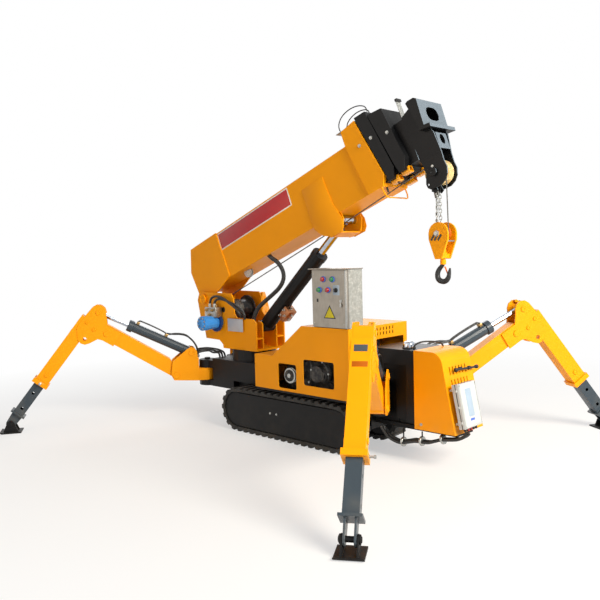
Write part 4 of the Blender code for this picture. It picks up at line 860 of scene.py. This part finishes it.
turretHoses = {  # radius, then the knots
    "boomSupplyHose": (0.021, (
        (-0.262, -0.095, 1.752), (-0.245, -0.112, 1.725), (-0.185, -0.125, 1.69), (-0.106, -0.13, 1.650),
        (-0.048, -0.13, 1.590), (-0.024, -0.13, 1.525), (-0.040, -0.13, 1.460), (-0.096, -0.13, 1.396),
        (-0.165, -0.13, 1.347), (-0.240, -0.13, 1.300), (-0.320, -0.13, 1.250), (-0.395, -0.13, 1.195),
        (-0.450, -0.13, 1.125), (-0.480, -0.13, 1.045), (-0.485, -0.13, 0.97))),
    "winchFeedHose": (0.0125, (
        (-0.94, -0.246, 1.215), (-0.938, -0.246, 1.240), (-0.915, -0.243, 1.268), (-0.87, -0.238, 1.278),
        (-0.80, -0.236, 1.272), (-0.72, -0.234, 1.250), (-0.64, -0.233, 1.228), (-0.57, -0.231, 1.195),
        (-0.515, -0.228, 1.150), (-0.502, -0.222, 1.112), (-0.515, -0.214, 1.085))),
    "winchReturnHose": (0.0125, (
        (-1.015, -0.246, 1.215), (-1.013, -0.246, 1.245), (-0.985, -0.246, 1.285), (-0.93, -0.244, 1.305),
        (-0.86, -0.242, 1.300), (-0.78, -0.240, 1.276), (-0.70, -0.252, 1.243), (-0.62, -0.254, 1.205),
        (-0.565, -0.250, 1.160), (-0.553, -0.235, 1.125), (-0.555, -0.214, 1.100)))}


def runTurretHoses():
    radius, knots = turretHoses["boomSupplyHose"]
    hose("boomSupplyHose", knots, radius, "turret", other="boom", ribbed=True)
    for name in ("winchFeedHose", "winchReturnHose"):
        radius, knots = turretHoses[name]
        hose(name, knots, radius, "turret")
    ends = [ferrule((x, -0.246, 1.193), (0, 0, 1), radius) for x in (-0.94, -1.015)]
    hand(joined(ends), "winchHoseEnds", zinc, "turret")


runTurretHoses()
print("turret dressed")

# Derrick cylinder: hold valve under the barrel, with its fittings

# "low" and "high" are its two pins; the rest lies along the barrel, from the low pin
derrickLook = {"low": (-0.43, 1.005), "high": (0.663, 2.018),
               "plugs": (((0.28, -0.052, -0.09), (0, -1, 0)), ((0.355, -0.052, -0.09), (0, -1, 0)),
                         ((0.32, -0.052, -0.135), (0, -1, 0)), ((0.29, 0, -0.158), (0, 0, -1)),
                         ((0.35, 0, -0.158), (0, 0, -1)), ((0.39, 0.0, -0.115), (1, 0, 0)),
                         ((0.25, 0.02, -0.115), (-1, 0, 0)), ((0.25, -0.025, -0.115), (-1, 0, 0))),
               "pipe": ((0.39, -0.02, -0.105), (0.43, -0.02, -0.100), (0.48, -0.02, -0.090), (0.80, -0.02, -0.088),
                        (0.835, -0.02, -0.080), (0.85, -0.02, -0.060))}


def dressDerrick():
    x0, z0 = derrickLook["low"]
    x1, z1 = derrickLook["high"]
    along = Vector((x1 - x0, 0, z1 - z0)).normalized()
    frameAt = Matrix.Translation((x0, 0, z0)) @ Matrix.Rotation(-math.atan2(along.z, along.x), 4, "Y")
    valve = settle(block((0.25, -0.052, -0.158), (0.39, 0.052, -0.070), 0.004), frameAt)
    hand(valve, "derrickHoldValve", copper, "derrick_cylinder")
    plug = lathe(((0, 0.013), (0.005, 0.013), (0.007, 0.009), (0.020, 0.009), (0.024, 0.007)), 6)
    spots = [frameAt @ aimed(p, d) for p, d in derrickLook["plugs"]]
    hand(repeated(plug, spots), "derrickValvePlugs", zinc, "derrick_cylinder")
    tube = asMesh(runLine([frameAt @ Vector(p) for p in derrickLook["pipe"]], 0.007, 8))
    hand(tube, "derrickPipe", sealBlack, "derrick_cylinder")


dressDerrick()
print("derrick dressed")


# Head, block and hook: axle caps, cheek bolts, chain, pipes, stripes, the swept hook with its latch

def chainLink():
    clearSelection()
    bpy.ops.mesh.primitive_torus_add(rotation=(math.pi / 2, 0, 0), major_segments=16, minor_segments=8,
                                     major_radius=headLook["linkWidth"], minor_radius=headLook["linkWire"])
    link = settle(bpy.context.object)
    for way in (1, -1):
        chooseFaces(link, lambda centre, normal: centre.z * way > 0.0025)
        bpy.ops.transform.translate(value=(0, 0, way * headLook["linkStretch"]))
        bpy.ops.object.mode_set(mode="OBJECT")
    return link


def hangChain():
    link = chainLink()
    top, foot = Vector(headLook["chainTop"]), Vector(headLook["chainFoot"])
    pitch = 2 * (headLook["linkWidth"] + headLook["linkStretch"] - headLook["linkWire"])
    count = round((top - foot).length / pitch)
    places = []
    for shift in (-0.010, 0.013):  # two strands side by side
        for i in range(count):
            place = top.lerp(foot, (i + 0.5) / count) + Vector((shift * (0.35 + 0.65 * i / count), shift, 0))
            places.append(Matrix.Translation(place) @ Matrix.Rotation((i + (shift > 0)) * math.pi / 2 + 0.4, 4, "Z"))
    chain = hand(repeated(link, places), "liftLimitChain", zinc, None)
    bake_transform(chain)


def dressHead():
    u, v = headLook["axle"]
    cap = lathe(((0, 0.034), (0.008, 0.034), (0.011, 0.031), (0.011, 0.014), (0.008, 0.012), (0.008, 0.004)), 32)
    hand(repeated(cap, [boomFrame @ aimed((u, s * headLook["axleEnd"], v), (0, s, 0)) for s in (-1, 1)]),
         "headAxleCaps", headBlack, "head")
    bolt = boltHead(0.010)
    places = [aimed((1.636, s * 0.0775, 2.394), (0, s, 0)) for s in (-1, 1)]
    hand(repeated(bolt, places), "headCheekBolts", zinc, "head")
    bracket = plateFrom(headLook["bracket"], 0.010, 0.0015)
    hand(settle(bracket, Matrix.Translation((0, 0.005, 0))), "chainBracket", headBlack, "head")
    lines = [bar(boomFrame @ Vector((2.884, y, 0.56)), boomFrame @ Vector((2.878, y, 0.725)), 0.006, 12)
             for y in (-0.034, -0.018, -0.002, 0.014)]
    hand(joined(lines), "headHosePipes", zinc, "head")
    bridge = settle(block((2.872, -0.044, 0.712), (2.896, 0.024, 0.736), 0.003), boomFrame)
    hand(bridge, "headPipeClamp", sealBlack, "head")
    nut = lathe(((0, 0.026), (0.004, 0.026), (0.006, 0.020), (0.016, 0.020), (0.019, 0.016)), 6)
    low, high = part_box("hook_block")
    x = (low[0] + high[0]) / 2 - 0.008
    hand(repeated(nut, [aimed((x, s * 0.0775, blockHeight), (0, s, 0)) for s in (-1, 1)]), "blockAxleNuts", zinc,
         "block")


def dressBlock():
    barAcross = bar((1.7475, -0.061, 1.800), (1.7475, 0.061, 1.800), 0.006, 14)
    hand(barAcross, "ropeKeeperBar", zinc, "block")
    hub = turned((1.675, 0, 1.686), (0, 0, 1), ((0, 0.030), (0.006, 0.034), (0.022, 0.034), (0.026, 0.026),
                                               (0.046, 0.024), (0.050, 0.018), (0.062, 0.016)), 28)
    hand(hub, "swivelHub", craneYellow, "block")
    stripes = []
    for side in (-1, 1):
        for start in (1.604, 1.636, 1.668):
            low = min(side * 0.0702, side * 0.0715)
            outline = ((start, 1.812), (start + 0.013, 1.802), (start + 0.043, 1.846), (start + 0.030, 1.858))
            stripes.append(settle(plateFrom(outline, 0.0013), Matrix.Translation((0, low + 0.0013, 0))))
    hand(joined(stripes), "blockStripes", labelBlack, "block")


hookLook = {"middle": (1.675, 1.5275), "wire": 0.02,
            # from shank to point: across and up from the middle, and how thick
            "path": ((0.0, 0.134, 0.0155), (0.0, 0.105, 0.0155), (-0.006, 0.082, 0.0165), (-0.028, 0.058, 0.0180),
                     (-0.048, 0.028, 0.0200), (-0.0535, -0.006, 0.0215), (-0.042, -0.036, 0.0225),
                     (-0.014, -0.0495, 0.0225), (0.018, -0.0480, 0.0220), (0.043, -0.026, 0.0200),
                     (0.054, 0.006, 0.0160), (0.060, 0.034, 0.0115), (0.064, 0.056, 0.0070))}


def forgeHook():  # the hook's own swept shape, thickest at the bowl, in the node's place
    middle, path = hookLook["middle"], hookLook["path"]
    places = [(middle[0] + x, 0, middle[1] + z) for x, z, thick in path]
    line = runLine(places, hookLook["wire"], 8, 6, [thick for x, z, thick in path])
    shaped = hand(asMesh(line), "forgedHook", hookSteel, "hook", smooth=60.0)
    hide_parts("hook")


def dressHook():
    collar = turned((1.675, 0, 1.612), (0, 0, 1), ((0, 0.020), (0.004, 0.024), (0.038, 0.024), (0.043, 0.020)), 32)
    hand(collar, "hookCollar", craneYellow, "hook")
    latch = plateFrom([(-0.010, 0.004), (0.010, 0.004), (0.0085, -0.078), (0.004, -0.088), (-0.004, -0.088),
                       (-0.0085, -0.078)], 0.003, 0.0008)
    turn = Matrix.Translation((1.690, 0.002, 1.592)) @ Matrix.Rotation(math.radians(-24), 4, "Y") \
        @ Matrix.Rotation(math.pi / 2, 4, "Z")
    hand(settle(latch, turn), "hookLatch", hoodOrange, "hook")


blockHeight = (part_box("block_sheave")[0][2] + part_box("block_sheave")[1][2]) / 2
hangChain()
dressHead()
dressBlock()
forgeHook()
dressHook()


for name, (across, run) in boomLook["cables"].items():
    knots = [boomFrame @ Vector((u, across, v)) for u, v in run]
    hose(name, knots, boomLook["cableRadius"], "section_2", other="boom")
print("head and hook dressed")


# Outriggers: pin caps, bosses, lock pins, pipes and hoses, made once and copied to the four legs

legLook = {"rootPin": (0.341, 0.481), "cylinderPin": (0.175, 0.709), "rodPin": (1.100, 1.175),
           "kneePin": (1.030, 0.958), "anklePin": (2.000, 0.092),
           "coverBolts": ((1.215, 1.085), (1.150, 1.005)),
           "armTurn": math.radians(52.3), "barrelTurn": math.radians(26.74),
           "cylinderHoses": (-0.018, 0.018), "cylinderHoseRadius": 0.009,  # beside the leg's plane
           "swivelHoses": (-0.045, -0.005, 0.035), "swivelHoseRadius": 0.010}


def toLegs(master, name, finish, part):  # one master, drawn in the leg's frame, copied to each leg
    for leg in legNames:
        hand(copyOf(master, legFrame(leg)), leg + name, finish, leg + part)
    bpy.data.objects.remove(master, do_unlink=True)


def upArm(distance):  # a place on the outer arm, measured up from the ankle pin
    turn = legLook["armTurn"]
    return (legLook["anklePin"][0] - distance * math.cos(turn), legLook["anklePin"][1] + distance * math.sin(turn))


def alongBarrel(distance, rise, across=0.0):
    turn = legLook["barrelTurn"]
    x, z = legLook["cylinderPin"]
    return (x + distance * math.cos(turn) - rise * math.sin(turn), across,
            z + distance * math.sin(turn) + rise * math.cos(turn))


def pinCap(radius):
    return lathe(((0, radius), (0.006, radius), (0.009, radius - 0.003), (0.009, radius * 0.5), (0.006, radius * 0.42),
                  (0.006, radius * 0.1)), 28)


def bothSides(master, spots, face):
    return repeated(master, [aimed((x, s * face, z), (0, s, 0)) for x, z in spots for s in (-1, 1)])


def dressLegs():
    caps = (("RootPinCaps", 0.036, (legLook["rootPin"],), 0.0855, craneYellow, "_bracket"),
            ("CylinderPinCaps", 0.028, (legLook["cylinderPin"],), 0.0855, craneYellow, "_bracket"),
            ("KneePinCaps", 0.030, (legLook["kneePin"],), 0.0765, craneYellow, "_outer"),
            ("RodPinCaps", 0.026, (legLook["rodPin"],), 0.0765, craneYellow, "_outer"),
            ("CoverBosses", 0.019, legLook["coverBolts"], 0.0765, craneYellow, "_outer"),
            ("ArmBosses", 0.022, (upArm(0.600),), 0.0685, craneYellow, "_outer"),
            ("FootPinCaps", 0.030, (legLook["anklePin"],), 0.0555, frameBlack, "_foot"))
    for name, radius, spots, face, finish, part in caps:
        toLegs(bothSides(pinCap(radius), spots, face), name, finish, part)
    x, z = upArm(0.500)
    pin = turned((x, 0.0832, z), (0, 1, 0), ((0, 0.013), (0.004, 0.013), (0.006, 0.008), (0.030, 0.008),
                                             (0.032, 0.012), (0.044, 0.012), (0.046, 0.009)), 20)
    toLegs(pin, "LockPin", zinc, "_outer")
    turn = legLook["armTurn"]
    # The knee slot and the knee recess are flat sheets on the arm's face: painted shade, not cut into it.
    for name, distance, size, finish in (("KneeSlotShade", 1.225, (0.046, 0.026), slotShade),
                                         ("KneeRecessShade", 1.105, (0.052, 0.020), armPaintedShade)):
        x, z = upArm(distance)
        slot = block((-0.0008, -size[0], -size[1]), (0.0008, size[0], size[1]), 0.0005)
        place = Matrix.Translation((x + 0.0684 * math.sin(turn), 0, z + 0.0684 * math.cos(turn))) \
            @ Matrix.Rotation(turn - math.pi / 2, 4, "Y")
        toLegs(settle(slot, place), name, finish, "_outer")
    pipes = []
    for across in (-0.016, 0.016):
        knots = [alongBarrel(d, r, across) for d, r in ((0.628, 0.060), (0.626, 0.078), (0.616, 0.087), (0.60, 0.089),
                                                        (0.36, 0.084), (0.30, 0.074))]
        pipes.append(asMesh(runLine(knots, 0.0065, 6, 2)))
    toLegs(joined(pipes), "CylinderPipes", sealBlack, "_barrel")
    gland = turned(alongBarrel(0.655, 0), Vector(alongBarrel(0.8, 0)) - Vector(alongBarrel(0.6, 0)),
                   ((0, 0.053), (0.004, 0.062), (0.052, 0.062), (0.057, 0.058), (0.0575, 0.030)), 32)
    toLegs(gland, "CylinderGland", slateEnamel, "_barrel")
    blocks = [settle(block((-0.016, -0.030, -0.014), (0.016, 0.030, 0.014), 0.003),
                     Matrix.Translation(alongBarrel(d, 0.060)) @ Matrix.Rotation(-legLook["barrelTurn"], 4, "Y"))
              for d in (0.625, 0.31)]
    toLegs(joined(blocks), "PipeBlocks", brassy, "_barrel")


def legHoses():
    for leg in legNames:
        for i, side in enumerate(legLook["cylinderHoses"]):
            spread = 0.010 * i
            knots = [quarterPoint(leg, x, z, y) for x, y, z in (
                (0.415 + spread, side, 0.918), (0.385, side, 0.912), (0.340, side * 1.1, 0.906 + spread),
                (0.280, side * 1.3, 0.902 + spread), (0.220, side * 1.5, 0.885 + spread),
                (0.170, side * 1.7, 0.850), (0.130, side * 1.8, 0.800), (0.105, side * 1.8, 0.740),
                (0.098, side * 1.8, 0.665))]
            hose(leg + "CylinderHose" + "AB"[i], knots, legLook["cylinderHoseRadius"], leg + "_bracket",
                 other=leg + "_barrel")
        along, across = legSigns[leg]
        for i, side in enumerate(legLook["swivelHoses"]):
            inner = (1.005, 0.075 + 0.035 * i, 0.652) if along < 0 else (1.045, 0.105 + 0.022 * i, 0.627)
            rise = 0.738 - 0.012 * i if along < 0 else 0.725 - 0.010 * i
            start = quarterPoint(leg, 0.120, 0.657, side)
            knots = [start, quarterPoint(leg, 0.118, 0.690, side), quarterPoint(leg, 0.090, rise - 0.008, side),
                     quarterPoint(leg, 0.040, rise, side * 0.7), quarterPoint(leg, -0.020, rise, side * 0.5),
                     (along * (inner[0] + 0.06), across * (inner[1] + 0.045), rise - 0.012),
                     (along * (inner[0] + 0.012), across * (inner[1] + 0.010), inner[2] + 0.045),
                     (along * inner[0], across * inner[1], inner[2])]
            hose(leg + "SwivelHose" + "ABC"[i], knots, legLook["swivelHoseRadius"], "chassis", other=leg + "_bracket")
        up = (0, 0, 1)
        ends = [ferrule(quarterPoint(leg, 0.098, 0.655, side * 1.8), up, legLook["cylinderHoseRadius"], 0.03)
                for side in legLook["cylinderHoses"]]
        ends += [ferrule(quarterPoint(leg, 0.120, 0.655, side), up, legLook["swivelHoseRadius"], 0.034)
                 for side in legLook["swivelHoses"]]
        hand(joined(ends), leg + "HoseEnds", zinc, leg + "_bracket")


dressLegs()
legHoses()
print("outriggers dressed")


# Chassis: controller fittings, filler cap, black sheets behind the louvres (painted shade), engine parts behind the
# windows, bolts, cable bundle

rearFace = Matrix.Translation((1.90, 0, 0.29)) @ Matrix.Rotation(math.radians(-11.5), 4, "Y")
rearLook = {"case": (0.045, 0.392, -0.200, 0.050), "caseFront": 0.095,  # rise low, high; across low, high; out
            "cables": ((-0.175, 0.0, 0.014), (-0.150, 0.012, 0.012), (-0.130, -0.008, 0.012))}


def onRear(rise, across, out):
    return rearFace @ Vector((out, across, rise))


def rearBlock(low, high, edge=0.001):  # corners as rise, across, out
    return settle(block((low[2], low[1], low[0]), (high[2], high[1], high[0]), edge), rearFace)


def dressController():
    r0, r1, a0, a1 = rearLook["case"]
    front = rearLook["caseFront"]
    lid = rearBlock((r0 + 0.004, a0 + 0.004, front - 0.001), (r1 - 0.004, a1 - 0.004, front + 0.007), 0.004)
    chooseFaces(lid, lambda centre, normal: normal.x > 0.9)
    bpy.ops.mesh.inset(thickness=0.014)
    bpy.ops.mesh.extrude_region_move(TRANSFORM_OT_translate={"value": (0.003, 0, 0)})
    bpy.ops.object.mode_set(mode="OBJECT")
    hand(lid, "controllerLid", boxGrey, "chassis")
    parts = (("controllerSeal", (r0 - 0.0015, a0 - 0.0015, front - 0.026), (r1 + 0.0015, a1 + 0.0015, front - 0.020),
              0.001, sealBlack),
             ("controllerBlankLabel", (r0 + 0.085, a0 + 0.075, front + 0.009), (r1 - 0.045, a0 + 0.155, front + 0.011),
              0.0005, labelBlue),
             ("controllerBlankStrip", (r0 + 0.052, a0 + 0.085, front + 0.009),
              (r0 + 0.070, a0 + 0.145, front + 0.011), 0.0005, lampBlue),
             ("controllerLidCatch", (r1 - 0.050, a1 - 0.028, front + 0.006), (r1 - 0.030, a1 - 0.008, front + 0.009),
              0.001, sealBlack))
    for name, low, high, edge, finish in parts:
        hand(rearBlock(low, high, edge), name, finish, "chassis")
    screw = lathe(((0, 0.0065), (0.003, 0.0065), (0.004, 0.0055), (0.004, 0.003), (0.002, 0.0025),
                   (0.002, 0.0008)), 16)
    normal = rearFace.to_3x3() @ Vector((1, 0, 0))
    places = [aimed(onRear(r, a, front + 0.006), normal) for r in (r0 + 0.014, r1 - 0.014)
              for a in (a0 + 0.014, a1 - 0.014)]
    hand(repeated(screw, places), "controllerScrews", zinc, "chassis")
    down = rearFace.to_3x3() @ Vector((0, 0, -1))
    gland = lathe(((0, 0.013), (0.006, 0.013), (0.008, 0.010), (0.020, 0.011), (0.026, 0.009)), 12)
    spots = [aimed(onRear(r0 + 0.001, a, front - 0.026), down) for a in (-0.165, -0.125, -0.085, -0.045, -0.005)]
    hand(repeated(gland, spots), "controllerGlands", sealBlack, "chassis")
    plug = lathe(((0, 0.009), (0.010, 0.009), (0.014, 0.006), (0.022, 0.006)), 12)
    spots = [aimed(onRear(r0 + 0.001, a, front - 0.008), down) for a in (-0.145, -0.105)]
    hand(repeated(plug, spots), "controllerPlugs", lampRed, "chassis")
    catch = block((-0.012, -0.005, -0.008), (0.012, 0.004, 0.008), 0.0015)
    catches = [rearFace @ Matrix.Translation((front - 0.022, a0 - 0.003, r))
               for r in (r0 + 0.05, r0 + 0.17, r1 - 0.05)]
    hand(repeated(catch, catches), "controllerCatches", boxGrey, "chassis")


def dressTank():
    ring = turned((1.40, -0.10, 0.9255), (0, 0, 1), ((0, 0.056), (0.008, 0.056), (0.012, 0.052), (0.012, 0.030)), 36)
    hand(ring, "fillerRing", sealBlack, "chassis")
    cap = turned((1.40, -0.10, 0.938), (0, 0, 1), ((0, 0.050), (0.026, 0.050), (0.034, 0.046), (0.042, 0.036),
                                                 (0.047, 0.022), (0.049, 0.006)), 40)
    hand(cap, "fillerCap", chrome, "chassis")
    grip = block((1.366, -0.104, 0.974), (1.434, -0.096, 0.9905), 0.002)
    hand(grip, "fillerCapGrip", chrome, "chassis")
    hose("tankBreatherHose", ((1.47, -0.13, 0.926), (1.472, -0.13, 0.95), (1.49, -0.115, 0.972), (1.52, -0.08, 0.985),
                              (1.55, -0.03, 0.985), (1.57, 0.03, 0.978), (1.575, 0.09, 0.965), (1.572, 0.13, 0.945),
                              (1.57, 0.15, 0.925)), 0.007, "chassis")


def backVents():
    # Flat black sheets behind the louvres of the hood and the rear housing: painted shade for the dark space behind
    # them.
    mesh = block((0.986, -0.36, 0.968), (0.992, 0.36, 1.078), 0.001)
    hand(mesh, "hoodLouvreShade", sealBlack, "chassis")
    housingShadeSheet = rearBlock((0.395, -0.170, -0.022), (0.570, 0.170, -0.018), 0.001)
    hand(housingShadeSheet, "housingLouvreShade", sealBlack, "chassis")


engineLook = {"hoseRadius": 0.007,
              "hoses": {"engineHoseA": ((0.50, -0.275, 0.53), (0.505, -0.345, 0.545), (0.55, -0.393, 0.64),
                                        (0.56, -0.392, 0.73), (0.53, -0.370, 0.785), (0.50, -0.275, 0.755)),
                        "engineHoseB": ((0.58, -0.275, 0.765), (0.63, -0.365, 0.795), (0.71, -0.391, 0.77),
                                        (0.76, -0.390, 0.70), (0.75, -0.378, 0.63), (0.72, -0.275, 0.57)),
                        "engineHoseC": ((0.18, -0.275, 0.745), (0.22, -0.375, 0.74), (0.28, -0.392, 0.735),
                                        (0.34, -0.375, 0.74), (0.39, -0.275, 0.745))},
              "clips": ((0.525, -0.388, 0.585), (0.56, -0.393, 0.70), (0.69, -0.388, 0.778), (0.76, -0.390, 0.68),
                        (0.24, -0.388, 0.742), (0.32, -0.389, 0.742))}


def dressEngine():
    wheel = turned((0.275, -0.350, 0.62), (0, -1, 0), ((0, 0.070), (0.010, 0.070), (0.016, 0.058), (0.022, 0.070),
                                                     (0.032, 0.070), (0.034, 0.052), (0.028, 0.040), (0.034, 0.022),
                                                     (0.044, 0.020), (0.046, 0.010)), 36)
    hand(wheel, "enginePulley", zinc, "chassis")
    pump = turned((0.66, -0.330, 0.66), (0, -1, 0), ((0, 0.075), (0.020, 0.075), (0.026, 0.066), (0.044, 0.062),
                                                   (0.050, 0.050), (0.064, 0.046), (0.066, 0.020)), 36)
    hand(pump, "enginePumpCover", iron, "chassis")
    for name, run in engineLook["hoses"].items():
        hose(name, run, engineLook["hoseRadius"], "chassis")
    clip = lathe(((0, 0.011), (0.012, 0.011), (0.014, 0.008)), 8)
    spots = [aimed(p, (0, -0.4, 1)) for p in engineLook["clips"]]
    hand(repeated(clip, spots), "engineClips", zinc, "chassis")


def dressFrame():
    arm = [bar((1.812, -0.01, 0.783), (1.840, -0.01, 0.789), 0.013, 16),
           bar((1.836, -0.085, 0.786), (1.836, 0.225, 0.770), 0.009, 14)]
    knobs = [turned((1.836, y, z), (0, way, 0), ((0, 0.013), (0.006, 0.016), (0.026, 0.016), (0.032, 0.011)), 16)
             for y, z, way in ((-0.070, 0.785, -1), (0.205, 0.771, 1), (0.09, 0.777, 1))]
    hand(joined([*arm, *knobs]), "rearScrewHandle", sealBlack, "chassis")
    bolt = boltHead(0.010)
    places = [aimed((1.585, -0.2105, 0.335), (0, -1, 0)), aimed((1.585, 0.2105, 0.335), (0, 1, 0))]
    hand(repeated(bolt, places), "housingBolts", zinc, "chassis")
    bolt = boltHead(0.009)
    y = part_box("left_track_frame")[0][1]
    places = [aimed((x, s * (-y + 0.0005), 0.24), (0, s, 0)) for x in (0.02, 0.105) for s in (-1, 1)]
    hand(repeated(bolt, places), "trackFrameBolts", zinc, "chassis")


def cableBundle():
    for i, (across, shift, radius) in enumerate(rearLook["cables"]):
        knots = [(1.15 + shift, across, 0.246), (1.178, across, 0.215), (1.23, across - 0.004, 0.172 + shift),
                 (1.30, across - 0.006, 0.148 + shift), (1.36, across - 0.006, 0.142 + shift),
                 (1.43, across - 0.006, 0.158 + shift), (1.50, across, 0.176 + shift), (1.57, across + 0.003, 0.180),
                 (1.63, across, 0.187), (1.70, across - 0.004, 0.212), (1.76, across - 0.006, 0.232),
                 (1.83, across - 0.006, 0.243), (1.90, across - 0.003, 0.258), (1.955, across, 0.286),
                 (1.972, -0.168 + 0.023 * i, 0.308)]
        hose("rearCable" + "ABC"[i], knots, radius, "chassis")
    band = lathe(((0, 0.036), (0.003, 0.040), (0.019, 0.040), (0.022, 0.036)), 20)
    spots = [aimed((x, -0.155, z), (1, 0, tilt)) for x, z, tilt in ((1.36, 0.147, 0.05), (1.545, 0.182, 0.1),
                                                                  (1.745, 0.228, 0.3))]
    hand(repeated(band, spots), "cableBands", zinc, "chassis")
    hanger = [bar((x, -0.155, z), (x, -0.155, 0.262), 0.006, 10)
              for x, z in ((1.371, 0.16), (1.556, 0.19), (1.755, 0.235))]
    hand(joined(hanger), "cableHangers", frameBlack, "chassis")


dressController()
dressTank()
backVents()
dressEngine()
dressFrame()
cableBundle()
print("chassis dressed")


# Floor, backdrop and light

studio = {"floorSize": 60.0, "floorColour": "#F4F4F4", "world": 0.24,
          # lamp: place, size, watts, colour
          "lamps": {"keyLamp": ((9.0, -1.0, 5.5), 4.0, 1260.0, "#FFF8EA"),
                    "fillLamp": ((-1.5, -9.0, 3.0), 6.0, 130.0, "#FFDDB4"),
                    "farLamp": ((-5.0, 7.0, 6.0), 6.0, 330.0, "#FFFFFF")}}


def raysToWhite(tree):  # 1 for rays that see the background directly, in metal or through glass
    rays = tree.nodes.new("ShaderNodeLightPath")
    seen = rays.outputs["Is Camera Ray"]
    for ray in ("Is Glossy Ray", "Is Transmission Ray"):
        larger = tree.nodes.new("ShaderNodeMath")
        larger.operation = "MAXIMUM"
        tree.links.new(seen, larger.inputs[0])
        tree.links.new(rays.outputs[ray], larger.inputs[1])
        seen = larger.outputs["Value"]
    return seen


def makeFloor():
    bpy.ops.object.select_all(action="DESELECT")
    bpy.ops.mesh.primitive_grid_add(x_subdivisions=8, y_subdivisions=8, size=studio["floorSize"])
    floor = bpy.context.object
    floor.name = "studioFloor"
    material, shader = newMaterial("mattWhitePaper", Roughness=0.9)
    place = objectPlace(material)
    tone = noiseShare(material, place, 0.8, 0.3, 0.7)
    base = linear(studio["floorColour"])
    feed(material, blendColours(material, tone, shade(base, 0.98), base), shader, "Base Color")
    # The camera sees the paper lifted to white away from the machine, with the shadow kept near it.
    radius = addNode(material, "VectorMath", {"operation": "LENGTH"}, {0: place}).outputs["Value"]
    away = addNode(material, "MapRange", {"From Min": 2.0, "From Max": 6.0, "To Min": 0.5, "To Max": 1.0},
                   {"Value": radius}).outputs["Result"]
    share = addNode(material, "Math", {"operation": "MULTIPLY"}, {0: raysToWhite(material.node_tree), 1: away})
    white = addNode(material, "Emission", {"Color": (1, 1, 1, 1), "Strength": 1.0})
    mix = addNode(material, "MixShader", links={0: share.outputs["Value"], 1: shader.outputs["BSDF"],
                                                2: white.outputs["Emission"]})
    output = next(n for n in material.node_tree.nodes if n.type == "OUTPUT_MATERIAL")
    material.node_tree.links.new(mix.outputs["Shader"], output.inputs["Surface"])
    floor.data.materials.append(material)


def makeWorld():
    world = bpy.data.worlds.new("paleStudio")
    bpy.context.scene.world = world
    world.use_nodes = True
    tree = world.node_tree
    background = tree.nodes["Background"]
    level = tree.nodes.new("ShaderNodeMapRange")
    level.inputs["To Min"].default_value = studio["world"]
    tree.links.new(raysToWhite(tree), level.inputs["Value"])
    tree.links.new(level.outputs["Result"], background.inputs["Strength"])
    background.inputs["Color"].default_value = (1, 1, 1, 1)


def makeLamps():
    for name, (place, size, watts, colour) in studio["lamps"].items():
        data = bpy.data.lights.new(name, "AREA")
        data.size = size
        data.energy = watts
        data.color = linear(colour)[:3]
        lamp = bpy.data.objects.new(name, data)
        bpy.context.scene.collection.objects.link(lamp)
        lamp.location = place
        lamp.rotation_euler = (Vector((0, 0, 0.9)) - Vector(place)).to_track_quat("-Z", "Y").to_euler()


makeFloor()
makeWorld()
makeLamps()
bpy.context.scene.view_settings.view_transform = "Standard"
print("floor, world and lamps set")
